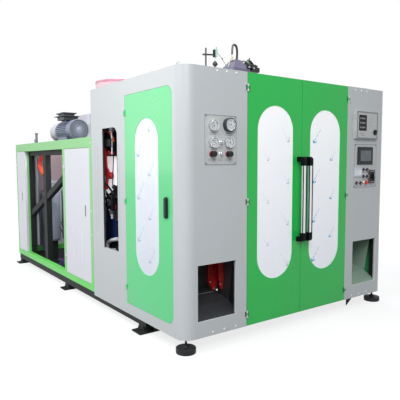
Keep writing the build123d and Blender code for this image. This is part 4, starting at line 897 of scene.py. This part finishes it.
def outlet_details():
    """Floor sheets and linings of the outlets, white strips of painted highlight on their lit lips, and the
    red scrap plates in the left one.
    """
    with piece("outlet_floors", "chute_steel", slot="chute_steel") as bm:
        for x in CHUTES:
            outline = [(0.012, 0.128), (0.152, 0.206), (0.152, 0.209), (0.012, 0.1305)]
            prism(bm, outline, at(x, 0, 0), Y, Z, CHUTE_WIDTH)
    with piece("outlet_lining", "black_steel", slot="black_steel") as bm:
        boxes(bm, at, (
            ((0.5635, 0.006, 0.10), (0.5655, 0.17, 0.60)), ((0.14, 0.19, 0.598), (0.555, 0.30, 0.614)),
        ))
    # Painted highlight: white strips on the bottom and right lips of each outlet, the faces the lamps
    # light.
    with piece("outlet_lip_highlights", "white_cap") as bm:
        for x in OUTLETS:
            end = x + OUTLET_WIDTH
            box(bm, at(x, 0.0006, 0.1285), at(end, 0.010, 0.1308))
            box(bm, at(end - 0.0022, 0.0006, 0.1308), at(end - 0.0002, 0.010, 0.5765))
    with piece("chute_step", "blank_label") as bm:
        box(bm, at(0.142, 0.2995, 0.250), at(0.519, 0.3025, 0.2535))
    with piece("scrap_plates", "red_paint", slot="red_paint", bevel=0.0015) as bm:
        prism(bm, SCRAP_NEAR, at(0, 0.291, 0), X, Z, 0.008)
        prism(bm, SCRAP_FAR, at(0, 0.206, 0), X, Z, 0.006)
    # A black disc for the hole in the near plate, as painted shade, and a dark strip on the far plate.
    with piece("scrap_plate_marks", "hole_black") as bm:
        turned(bm, at(0.510, 0.283, 0.464), -Y, [(0.011, 0), (0.011, 0.0006)], 20)
        box(bm, at(0.526, 0.1996, 0.33), at(0.533, 0.2004, 0.40))
    with piece("scrap_plate_bolts", "valve_silver") as bm:
        for x, y, z in ((0.472, 0.283, 0.345), (0.513, 0.283, 0.283), (0.518, 0.200, 0.337)):
            dome(bm, at(x, y, z), -Y, 0.007, 0.005)


# Windows: half the width, half the height and the middle's height of each kind
FRONT_WINDOW = (0.21, 0.7425, 1.1075)
SIDE_WINDOW = (0.1975, 0.659, 1.08)
FRONT_WINDOW_X = 0.322
SIDE_WINDOW_Y = 0.5425
MARK_PITCH = 0.365
MARK_EDGE = 0.03
ARROW_SLANT = 52
ARROW_DASHES = ((-0.12, 0.04, 0.8), (0.10, 0.24, 0.7), (0.30, 0.52, 0.5), (0.60, 0.90, 0.35))


def in_stadium(u, v, half_width, half_height):
    """Whether a point lies well inside a stadium outline."""
    beyond = max(0.0, abs(v) - (half_height - half_width))
    return math.hypot(u, beyond) < half_width - MARK_EDGE


def arrow(bm, origin, u, v, length, width, way):
    """A blunt arrow with a dashed tail, lying along a slanted line."""
    turn = math.radians(ARROW_SLANT) * way
    out = u.cross(v)
    along = u * math.cos(turn) * way + v * abs(math.sin(turn))
    side = along.cross(out).normalized() * length
    along = along * length
    foot = origin - along * 0.38

    def dash(start, end, share=1.0):
        beam(bm, start, end, width * share, 0.0002, out)

    for start, end, share in ARROW_DASHES:
        dash(foot + along * start, foot + along * end, share)
    tip = foot - along * 0.14
    for lean in (-0.13, 0.13):
        dash(tip, tip + along * 0.13 + side * lean)
    dash(foot + side * 0.16, foot + side * 0.16 + along * 0.1)


def film_marks(name, look, body, middle, across, window, columns, length, width, way):
    """Arrow marks printed in staggered columns on a window's film."""
    half_width, half_height, _ = window
    with piece(name, look, body) as bm:
        for u, first, scale in columns:
            for row in range(-2, 3):
                up = first + row * MARK_PITCH
                if in_stadium(u, up, half_width, half_height):
                    origin = middle + across * u + Z * up
                    arrow(bm, origin, across, Z, length * scale, width * scale, way)


def windows():
    """Film marks on all four windows."""
    for name, way, look, width in (("left", -1, "mark_pale", 0.007), ("right", 1, "mark_blue", 0.011)):
        middle = Vector((FRONT_WINDOW_X * way, FRONT + SHEET - PROUD, BASE + FRONT_WINDOW[2]))
        columns = ((-0.115 * way, 0.137, 1.0), (0.115 * way, -0.04, 0.75))
        film_marks(
            f"film_marks_front_{name}", look, f"front_door_{name}", middle, X, FRONT_WINDOW, columns,
            0.15, width, way,
        )
    for name, sign in (("left", -1), ("right", 1)):
        side = sign * (-LEFT - SHEET + PROUD)
        middle = Vector((side, FRONT + SIDE_WINDOW_Y, BASE + SIDE_WINDOW[2]))
        columns = ((-0.1, 0.05, 1.0), (0.08, 0.24, 0.8))
        film_marks(
            f"film_marks_side_{name}", "mark_soft", f"side_door_{name}", middle, Y * sign, SIDE_WINDOW,
            columns, 0.17, 0.010, 1,
        )


# Marks on the side walls and the rear section
WALLS = ((0.0, -X), (WIDTH, X))
LOUVRES = [(y, 0.30 + row * 0.026) for y in (1.95, 2.20) for row in range(13)]
GRIPS = (("front", 1.845, 0.862), ("rear", 4.155, 0.885))


def side_details():
    """Perforations beside the slots drawn as dark discs of painted shade, screws on the posts, louvres with
    painted shade under their hoods, and grip linings.
    """
    # Dark grey discs for the holes: painted shade.
    with piece("perforations", "perforation") as bm:
        for x, way in WALLS:
            for y in (1.04, 1.505, 1.565):
                for row in range(34):
                    turned(bm, at(x, y, 0.70 + row * 0.025), way, [(0.0034, 0), (0.0034, 0.0003)], 8)
    with piece("post_screws", "white_cap", slot="white_paint") as bm:
        for x, way in WALLS:
            for z in (0.624, 0.873, 1.574):
                dome(bm, at(x, 1.69, z), way, 0.008, 0.004)
    with piece("louvres", "white_paint", "service_door_front", slot="white_paint") as bm:
        hood = [(0, 0), (0.0045, 0.0), (0.004, 0.004), (0.0022, 0.009), (0, 0.012)]
        for y, z in LOUVRES:
            prism(bm, hood, at(0, y - 0.0225, z), -X, Z, 0.045)
    # Painted shade: a grey strip under each louvre's hood.
    with piece("louvre_gap_shade", "grip_grey", "service_door_front") as bm:
        for y, z in LOUVRES:
            box(bm, at(-0.0004, y - 0.02, z - 0.003), at(0.0002, y + 0.02, z))
    for name, y, z in GRIPS:
        with piece(f"grip_lining_{name}", "grip_grey", f"service_door_{name}") as bm:
            prism(bm, rounded(0.0252, 0.134, 0.0124, 8), at(0.0107, y, z), Y, Z, -0.0006)
            for side in (-1, 1):
                low = at(0.0002, y + side * 0.0112 - 0.0011, z - 0.054)
                box(bm, low, low + Vector((0.0104, 0.0022, 0.108)))


# Servo cover, valve block and sensor stand on the roof
ROOF_LINE = 0.95
SERVO_X = 1.308
SERVO_STEPS = ((0.12, 0.11, 2.125), (0.115, 0.105, 2.335), (0.036, 0.04, 2.432))


def roof_point(x, z, forward=0.0):
    """A point over the roof, in the plane of the clamps' middle or forward of it."""
    return at(x, ROOF_LINE - forward, z)


def roof_hose(bm, route, radius, forward=0.0):
    """A hose over the roof."""
    hose(bm, [roof_point(x, z, forward) for x, z in route], radius)


def parison_control():
    """The servo's sloped cover with its looped hose, fittings, plugs and vents."""
    with piece("servo_cover", "servo_purple", bevel=0.005, stands_for="parison_control") as bm:
        rings = []
        for half_x, half_y, z in SERVO_STEPS:
            signs = ((-1, -1), (1, -1), (1, 1), (-1, 1))
            corners = [at(SERVO_X + a * half_x, ROOF_LINE + b * half_y, z) for a, b in signs]
            rings.append([bm.verts.new(corner) for corner in corners])
        skin(bm, rings)
    with piece("servo_hose", "hose_black") as bm:
        route = ((1.290, 2.587), (1.318, 2.587), (1.334, 2.53), (1.330, 2.46), (1.324, 2.425))
        roof_hose(bm, route, 0.0118)
    with piece("servo_hose_return", "hose_grey") as bm:
        roof_hose(bm, ((1.292, 2.587), (1.276, 2.587), (1.266, 2.55), (1.263, 2.485)), 0.0112)
    with piece("servo_fitting", "brass_fitting") as bm:
        roof_hose(bm, ((1.263, 2.487), (1.264, 2.44), (1.268, 2.38)), 0.0045)
        roof_hose(bm, ((1.264, 2.452), (1.236, 2.442), (1.212, 2.40), (1.200, 2.35)), 0.004, 0.02)
    with piece("servo_plugs", "hole_black", bevel=0.002) as bm:
        turned(bm, roof_point(1.263, 2.38, 0.01), Z, [(0.014, 0), (0.014, 0.03), (0.009, 0.04)], 20)
        lathe(bm, roof_point(1.324, 2.43), Z, [(0, 0), (0.016, 0), (0.015, 0.014), (0, 0.016)], 20)
    with piece("servo_vents", "valve_silver") as bm:
        for x, z in ((1.366, 2.40), (1.248, 2.375)):
            dome(bm, roof_point(x, z, 0.06), -Y, 0.011, 0.012)


def roof_valves():
    """Valve block beside the servo, with coils, caps, plugs and looped leads."""
    with piece("valve_block", "hose_black", bevel=0.003) as bm:
        boxes(bm, roof_point, (
            ((1.345, 2.325, 0.06), (1.598, 2.375, -0.06)), ((1.392, 2.375, 0.052), (1.452, 2.418, -0.03)),
            ((1.468, 2.375, 0.058), (1.548, 2.402, -0.05)), ((1.486, 2.402, 0.03), (1.520, 2.422, -0.02)),
        ))
    with piece("valve_coils", "black_plastic", bevel=0.002) as bm:
        for x, z, radius, height in ((1.422, 2.412, 0.024, 0.022), (1.535, 2.40, 0.012, 0.03)):
            profile = [(radius, 0), (radius, height), (radius * 0.7, height + 0.004)]
            turned(bm, roof_point(x, z), Z, profile, 24)
        for x, z, profile in (
            (1.40, 2.352, [(0.02, 0), (0.02, 0.05), (0.013, 0.056)]),
            (1.47, 2.348, [(0.022, 0), (0.022, 0.04), (0.014, 0.048)]),
        ):
            turned(bm, roof_point(x, z, 0.06), -Y, profile, 24)
    with piece("valve_end", "stand_grey", bevel=0.002) as bm:
        profile = [(0.028, 0), (0.03, 0.004), (0.03, 0.036), (0.024, 0.042)]
        turned(bm, roof_point(1.566, 2.362), X, profile, 28)
        box(bm, roof_point(1.580, 2.388, 0.02), roof_point(1.606, 2.408, -0.02))
        lathe(bm, roof_point(1.503, 2.418), Z, [(0, 0), (0.007, 0), (0.006, 0.06), (0, 0.062)], 16)
    with piece("valve_caps", "valve_silver") as bm:
        turned(bm, roof_point(1.562, 2.372, 0.02), Z, [(0.013, 0), (0.013, 0.034), (0.009, 0.042)], 20)
        for x, z, forward in ((1.40, 2.352, 0.116), (1.47, 2.348, 0.108)):
            dome(bm, roof_point(x, z, forward), -Y, 0.009, 0.006)
    with piece("valve_leads", "wire_green") as bm:
        route = ((1.375, 2.375), (1.384, 2.416), (1.412, 2.425), (1.436, 2.408), (1.468, 2.395))
        roof_hose(bm, route, 0.0036, 0.05)
    with piece("valve_lead_black", "hose_black") as bm:
        for forward, lift in ((0.045, 0.0), (0.02, 0.012)):
            route = ((1.43, 2.412), (1.455, 2.440 + lift), (1.49, 2.436 + lift), (1.52, 2.405))
            roof_hose(bm, route, 0.005, forward)


def sensor_stand():
    """A post with a cross arm that carries a sensor, its plumb weight and a thin lead."""
    with piece("sensor_stand", "stand_grey") as bm:
        profile = [(0, 0), (0.024, 0), (0.024, 0.006), (0.0085, 0.008), (0.0085, 0.407), (0, 0.408)]
        lathe(bm, roof_point(0.925, 2.0995), Z, profile, 20)
        beam(bm, roof_point(0.888, 2.438), roof_point(1.03, 2.452), 0.015, 0.015)
        ring(bm, roof_point(0.925, 2.4415), Z, 0.011, 0.005, 20)
    with piece("sensor_clip", "hole_black", bevel=0.002) as bm:
        prism(bm, rounded(0.014, 0.076, 0.005), roof_point(1.029, 2.466, 0.014), X, Z, -0.028)
    with piece("sensor_body", "bracket_green", bevel=0.002) as bm:
        outline = [
            (-0.014, -0.035), (0.0, -0.048), (0.016, -0.034), (0.018, 0.02), (0.008, 0.06), (-0.006, 0.062),
        ]
        prism(bm, outline, roof_point(1.049, 2.472, 0.012), X, Z, -0.024)
    with piece("sensor_weight", "stand_grey", bevel=0.002) as bm:
        profile = [(0, 0), (0.012, 0.004), (0.029, 0.028), (0.028, 0.034), (0.01, 0.058), (0, 0.06)]
        lathe(bm, roof_point(1.041, 2.332), Z, profile, 14)
    with piece("sensor_leads", "wire_green") as bm:
        roof_hose(bm, ((1.041, 2.43), (1.041, 2.41), (1.041, 2.385)), 0.0024)
        route = ((1.062, 2.476), (1.092, 2.462), (1.132, 2.425), (1.172, 2.38), (1.20, 2.34))
        roof_hose(bm, route, 0.003)
    with piece("sensor_joint", "stand_grey") as bm:
        profile = [(0, 0), (0.006, 0.002), (0.006, 0.014), (0, 0.016)]
        lathe(bm, roof_point(1.128, 2.431), X + Z * -0.9, profile, 14)


# What shows through the slot in the left wall
# Outline of the glowing sheet of painted light behind the slot.
PAINTED_LIGHT_OUTLINE = (
    (1.347, 1.435), (1.560, 1.435), (1.556, 1.30), (1.585, 1.20), (1.600, 1.09), (1.540, 1.055),
    (1.44, 1.10), (1.347, 1.155),
)


def slot_carriers():
    """Mounting plate with its feet, a pale glowing sheet of painted light where light shows through, valve
    manifold and pump behind the slot.
    """
    with piece("slot_plate", "black_steel", slot="black_steel", bevel=0.001) as bm:
        box(bm, at(0.130, 1.345, 0.42), at(0.134, 1.612, 1.735))
        for z in (0.70, 1.63):
            box(bm, at(0.0985, 1.565, z), at(0.131, 1.605, z + 0.04))
    with piece("slot_painted_light_sheet", "backlit_sheet") as bm:
        prism(bm, PAINTED_LIGHT_OUTLINE, at(0.1262, 0, 0), Y, Z, 0.003)
    with piece("slot_manifold", "black_plastic", slot="black_plastic", bevel=0.003) as bm:
        boxes(bm, at, (
            ((0.068, 1.42, 1.601), (0.129, 1.61, 1.668)), ((0.075, 1.345, 1.440), (0.129, 1.56, 1.452)),
            ((0.072, 1.355, 0.90), (0.129, 1.47, 1.045)), ((0.080, 1.47, 0.93), (0.129, 1.60, 1.03)),
        ))
    with piece("slot_pump", "stand_grey", bevel=0.001) as bm:
        profile = [(0.03, 0), (0.034, 0.02), (0.034, 0.05), (0.02, 0.06), (0.02, 0.09)]
        turned(bm, at(0.102, 1.41, 0.86), Z, profile, 24)
        profile = [(0.018, 0), (0.032, 0), (0.032, 0.008), (0.018, 0.008), (0.018, 0)]
        lathe(bm, at(0.073, 1.412, 0.975), -X, profile, 24)
        turned(bm, at(0.10, 1.53, 0.90), Z, [(0.024, 0), (0.024, 0.045), (0.012, 0.05)], 20)


def slot_lines():
    """Hoses, fittings and a white pipe behind the slot."""
    with piece("slot_hoses", "hose_orange") as bm:
        route = ((1.595, 1.665), (1.60, 1.712), (1.53, 1.738), (1.44, 1.728), (1.40, 1.70))
        hose(bm, side_route(0.096, route), 0.0125)
        route = ((1.50, 1.668), (1.455, 1.69), (1.37, 1.655), (1.32, 1.61), (1.318, 1.575))
        hose(bm, side_route(0.082, route), 0.0125)
    with piece("slot_fittings", "valve_silver", bevel=0.001) as bm:
        profile = [
            (0, 0), (0.016, 0), (0.016, 0.012), (0.03, 0.018), (0.033, 0.05), (0.02, 0.058),
            (0.016, 0.07), (0, 0.072),
        ]
        lathe(bm, at(0.098, 1.385, 1.655), Z, profile, 12)
        lathe(bm, at(0.10, 1.478, 1.668), Z, [(0, 0), (0.012, 0), (0.012, 0.03), (0, 0.032)], 12)
        for y, z in ((1.455, 1.0), (1.50, 0.98), (1.41, 0.905), (1.475, 1.035)):
            dome(bm, at(0.0715, y, z), -X, 0.009, 0.006)
        profile = [(0.018, 0), (0.018, 0.03), (0.026, 0.032), (0.026, 0.045)]
        turned(bm, at(0.10, 1.41, 0.815), Z, profile, 12)
    with piece("slot_white_pipe", "white_pipe") as bm:
        route = ((1.372, 1.688), (1.33, 1.69), (1.325, 1.64), (1.325, 1.50), (1.327, 1.452))
        hose(bm, side_route(0.07, route), 0.008)


def slot_linkage():
    """Red links, a knuckle, black rods with brackets, and the pale elbow at the slot's foot."""
    with piece("slot_links", "dark_red", bevel=0.002) as bm:
        box(bm, at(0.076, 1.36, 1.456), at(0.118, 1.47, 1.480))
        lathe(bm, at(0.0745, 1.40, 1.468), -X, [(0, 0), (0.024, 0), (0.022, 0.01), (0, 0.012)], 20)
        lathe(bm, at(0.0745, 1.52, 1.50), -X, [(0, 0), (0.03, 0), (0.028, 0.012), (0, 0.014)], 20)
        box(bm, at(0.11, 1.348, 0.915), at(0.120, 1.356, 0.955))
    with piece("slot_knuckle", "red_paint", slot="red_paint", bevel=0.003) as bm:
        profile = [(0, 0), (0.034, 0), (0.036, 0.01), (0.036, 0.03), (0.026, 0.042), (0, 0.044)]
        lathe(bm, at(0.124, 1.435, 1.243), -X, profile, 14)
        beam(bm, at(0.10, 1.50, 1.25), at(0.10, 1.535, 1.10), 0.02, 0.03, X)
        beam(bm, at(0.10, 1.395, 1.222), at(0.10, 1.50, 1.27), 0.022, 0.03, X)
    with piece("slot_rods", "hole_black") as bm:
        hose(bm, side_route(0.098, ((1.352, 1.45), (1.36, 1.38), (1.372, 1.28), (1.385, 1.15))), 0.0052)
        turned(bm, at(0.118, 1.298, 1.045), Z, [(0.006, 0), (0.006, 0.40)], 14)
        profile = [(0, 0), (0.016, 0.006), (0.024, 0.024), (0.016, 0.042), (0, 0.048)]
        lathe(bm, at(0.094, 1.345, 1.11), Z, profile, 20)
        beam(bm, at(0.094, 1.51, 1.155), at(0.094, 1.35, 1.060), 0.014, 0.014, X)
        boxes(bm, at, (
            ((0.105, 1.29, 1.030), (0.129, 1.36, 1.05)), ((0.105, 1.29, 1.440), (0.129, 1.36, 1.452)),
        ))
    with piece("slot_elbow", "white_pipe") as bm:
        route = ((1.515, 0.47), (1.510, 0.55), (1.46, 0.585), (1.36, 0.612), (1.27, 0.63))
        hose(bm, side_route(0.088, route), 0.018)
        turned(bm, at(0.10, 1.385, 0.455), Z, [(0.028, 0), (0.03, 0.03), (0.022, 0.06)], 20)


# What shows through the open bay in the rear section
def bay_hoses():
    """The red hose with its orange sleeve and black end, and the thin hoses below it."""
    with piece("bay_hose", "red_rubber", slot="red_rubber", stands_for="red_hoses") as bm:
        route = ((3.655, 1.605), (3.665, 1.54), (3.78, 1.45), (3.865, 1.38), (3.84, 1.33))
        hose(bm, side_route(0.165, route), 0.024)
    with piece("bay_hose_sleeve", "hose_orange") as bm:
        route = ((3.845, 1.335), (3.80, 1.285), (3.72, 1.235), (3.665, 1.205))
        hose(bm, side_route(0.165, route), 0.031, 0.06, 0.012)
    with piece("bay_hose_end", "hole_black") as bm:
        hose(bm, side_route(0.165, ((3.668, 1.207), (3.64, 1.19), (3.61, 1.172))), 0.024)
    with piece("bay_hose_thin", "red_rubber", slot="red_rubber") as bm:
        route = ((3.612, 1.174), (3.57, 1.15), (3.55, 1.115), (3.55, 1.09))
        hose(bm, side_route(0.175, route), 0.007)
        route = ((3.80, 1.43), (3.70, 1.35), (3.62, 1.31), (3.53, 1.285), (3.50, 1.20), (3.515, 1.09))
        hose(bm, side_route(0.185, route), 0.006)


def bay_contents():
    """A dark tray under the deck, a pale valve and cables in the service bay."""
    with piece("deck_tray", "black_steel", slot="black_steel") as bm:
        box(bm, at(0.13, 1.96, 0.0302), at(2.44, 4.28, 0.0332))
    bay_hoses()
    with piece("bay_valve", "white_pipe", bevel=0.002) as bm:
        profile = [
            (0, 0), (0.03, 0), (0.03, 0.03), (0.018, 0.04), (0.018, 0.07), (0.028, 0.075),
            (0.028, 0.09), (0, 0.092),
        ]
        lathe(bm, at(0.20, 3.60, 1.085), Z, profile, 20)
        beam(bm, at(0.20, 3.60, 1.135), at(0.20, 3.76, 1.10), 0.03, 0.03)
    with piece("bay_cables", "hose_black") as bm:
        for step, height in enumerate((0.50, 0.56, 0.61)):
            route = ((2.95, height), (3.05, height - 0.05), (3.14, height - 0.02), (3.20, height + 0.03))
            hose(bm, side_route(0.20 + 0.02 * step, route), 0.008)
    with piece("bay_floor_cables", "cable_purple") as bm:
        for step in range(4):
            route = (
                (0.16, 3.02 + 0.05 * step, 0.045), (0.26, 3.10 + 0.06 * step, 0.05),
                (0.22, 3.24 + 0.05 * step, 0.075), (0.36, 3.36 + 0.03 * step, 0.045),
                (0.60, 3.40 - 0.02 * step, 0.044),
            )
            hose(bm, [at(*point) for point in route], 0.009)


# Fan cover grille and terminal box on the motor
FAN_CENTRE, FAN_RADIUS = at(0.413, 3.0, 1.797), 0.128


def motor_details():
    """Ribbed grille over the fan and its hub, both lighter than the motor as painted light, a black disc of
    shadow behind the grille, and the layered terminal box on top.
    """
    with piece("fan_shadow", "hole_black") as bm:
        turned(bm, FAN_CENTRE, -Y, [(FAN_RADIUS, 0.0003), (FAN_RADIUS, 0.001)], 40)
    with piece("fan_grille", "grille_paint") as bm:
        middle = FAN_CENTRE - Y * 0.003
        for share in (0.28, 0.46, 0.64, 0.82, 1.0):
            ring(bm, middle, -Y, FAN_RADIUS * share, 0.003, 48, 6)
        for i in range(24):
            spoke = heading(360 * i / 24) * FAN_RADIUS
            beam(bm, middle + spoke * 0.2, middle + spoke, 0.006, 0.004, Y)
        dome(bm, FAN_CENTRE - Y * 0.001, -Y, FAN_RADIUS * 0.24, 0.008)
    with piece("terminal_box", "stand_grey", bevel=0.002) as bm:
        boxes(bm, at, (
            ((0.275, 3.16, 1.928), (0.435, 3.40, 1.972)), ((0.245, 3.13, 1.972), (0.465, 3.43, 1.984)),
            ((0.285, 3.17, 1.984), (0.425, 3.39, 2.010)), ((0.262, 3.15, 2.010), (0.448, 3.41, 2.024)),
        ))
    with piece("terminal_bolts", "valve_silver") as bm:
        for x in (0.275, 0.435):
            for y in (3.165, 3.395):
                dome(bm, at(x, y, 2.024), Z, 0.007, 0.005)


# Camera, light and floor. Each lamp: name, place, point it faces, size and power
LAMPS = (
    ("side", (-5.6, -1.6, 5.2), (-1.3, -0.6, 1.4), 3.6, 225),
    ("sheen", (-7.5, 6.0, 3.6), (-1.3, -1.0, 1.4), 5.0, 150),
    ("front", (-3.4, -6.6, 5.0), (-0.6, -2.0, 1.5), 3.2, 270),
    ("back", (5.0, 7.0, 5.0), (0.0, 0.5, 1.0), 5.0, 260),
    ("overhead", (-0.5, 0.0, 8.0), (-0.5, 0.0, 0.0), 6.0, 200),
    ("bay", (-0.75, 0.95, 1.52), (-0.8, 2.2, 0.9), 0.5, 7),
)
WHITE = (1, 1, 1, 1)
SOFT_SKY, SKY_LEVEL = (0.93, 0.96, 1, 1), 0.36
FLOOR_REACH = 30.0
GLOW_NEAR, GLOW_FAR = 0.78, 1.0
GLOW_START, GLOW_END = 3.0, 7.0


def placed(name, data, place):
    """A camera or lamp object in the scene."""
    holder = bpy.data.objects.new(name, data)
    holder.location = place
    bpy.context.scene.collection.objects.link(holder)
    return holder


def camera():
    """The camera at the photograph's viewing angle."""
    data = bpy.data.cameras.new("camera")
    data.lens = 43.24
    data.sensor_width = 36
    holder = placed("camera", data, (-3.2699, -5.1318, 1.4922))
    holder.rotation_euler = Euler([math.radians(a) for a in (85.464, 0.172, -35.912)])
    bpy.context.scene.camera = holder


def lamps():
    """Soft square lamps round the machine, and a weak one in the service bay."""
    for name, place, target, size, power in LAMPS:
        lamp = bpy.data.lights.new(name, "AREA")
        lamp.shape = "SQUARE"
        lamp.size = size
        lamp.energy = power
        way = Vector(target) - Vector(place)
        placed(name, lamp, place).rotation_euler = way.to_track_quat("-Z", "Y").to_euler()


def seen_white(tree):
    """One for rays that see the background straight, in gloss or through glass."""
    path = add_node(tree, "LightPath").outputs
    seen = calc(tree, "MAXIMUM", path["Is Camera Ray"], path["Is Glossy Ray"])
    return calc(tree, "MAXIMUM", seen, path["Is Transmission Ray"])


def sky():
    """A world that is white where it is seen and softer where it lights."""
    world = bpy.data.worlds.new("world")
    bpy.context.scene.world = world
    world.use_nodes = True
    tree = world.node_tree
    tree.nodes.clear()
    white = add_node(tree, "Background", [(0, WHITE), (1, 1.0)]).outputs[0]
    soft = add_node(tree, "Background", [(0, SOFT_SKY), (1, SKY_LEVEL)]).outputs[0]
    mix = add_node(tree, "MixShader", [(0, seen_white(tree)), (1, soft), (2, white)])
    add_node(tree, "OutputWorld", [(0, mix.outputs[0])])


def floor_material():
    """A pale matte floor that reads white and keeps the machine's shadow."""
    mat = bpy.data.materials.new("floor")
    mat.use_nodes = True
    tree = mat.node_tree
    tree.nodes.clear()
    cloud = mapped(tree, noise(tree, 0.8, 2.0), 0.0, 1.0)
    tone = mixed(tree, cloud, rgba((132, 134, 136)), rgba((140, 141, 142)))
    diffuse = add_node(tree, "BsdfDiffuse", [(0, tone)]).outputs[0]
    away = vector_calc(tree, "LENGTH", own_place(tree))
    level = mapped(tree, away, GLOW_NEAR, GLOW_FAR, GLOW_START, GLOW_END)
    lift = calc(tree, "MULTIPLY", seen_white(tree), level)
    glow = add_node(tree, "Emission", [(0, WHITE), (1, lift)]).outputs[0]
    total = add_node(tree, "AddShader", [(0, diffuse), (1, glow)]).outputs[0]
    add_node(tree, "OutputMaterial", [(0, total)])
    return mat


def ground():
    """A wide plain floor under the machine."""
    mesh = bpy.data.meshes.new("floor")
    signs = ((-1, -1), (1, -1), (1, 1), (-1, 1))
    corners = [(a * FLOOR_REACH, b * FLOOR_REACH, 0) for a, b in signs]
    mesh.from_pydata(corners, [], [(0, 1, 2, 3)])
    mesh.materials.append(floor_material())
    floor = bpy.data.objects.new("floor", mesh)
    bpy.context.scene.collection.objects.link(floor)


dress_nodes()
fascia_screws()
gauge_panel()
control_panel()
electrical_box()
windows()
side_details()
front_seams()
door_trims()
outlet_details()
parison_control()
roof_valves()
sensor_stand()
slot_carriers()
slot_lines()
slot_linkage()
bay_contents()
motor_details()
camera()
lamps()
sky()
ground()
bpy.context.scene.view_settings.view_transform = "Standard"
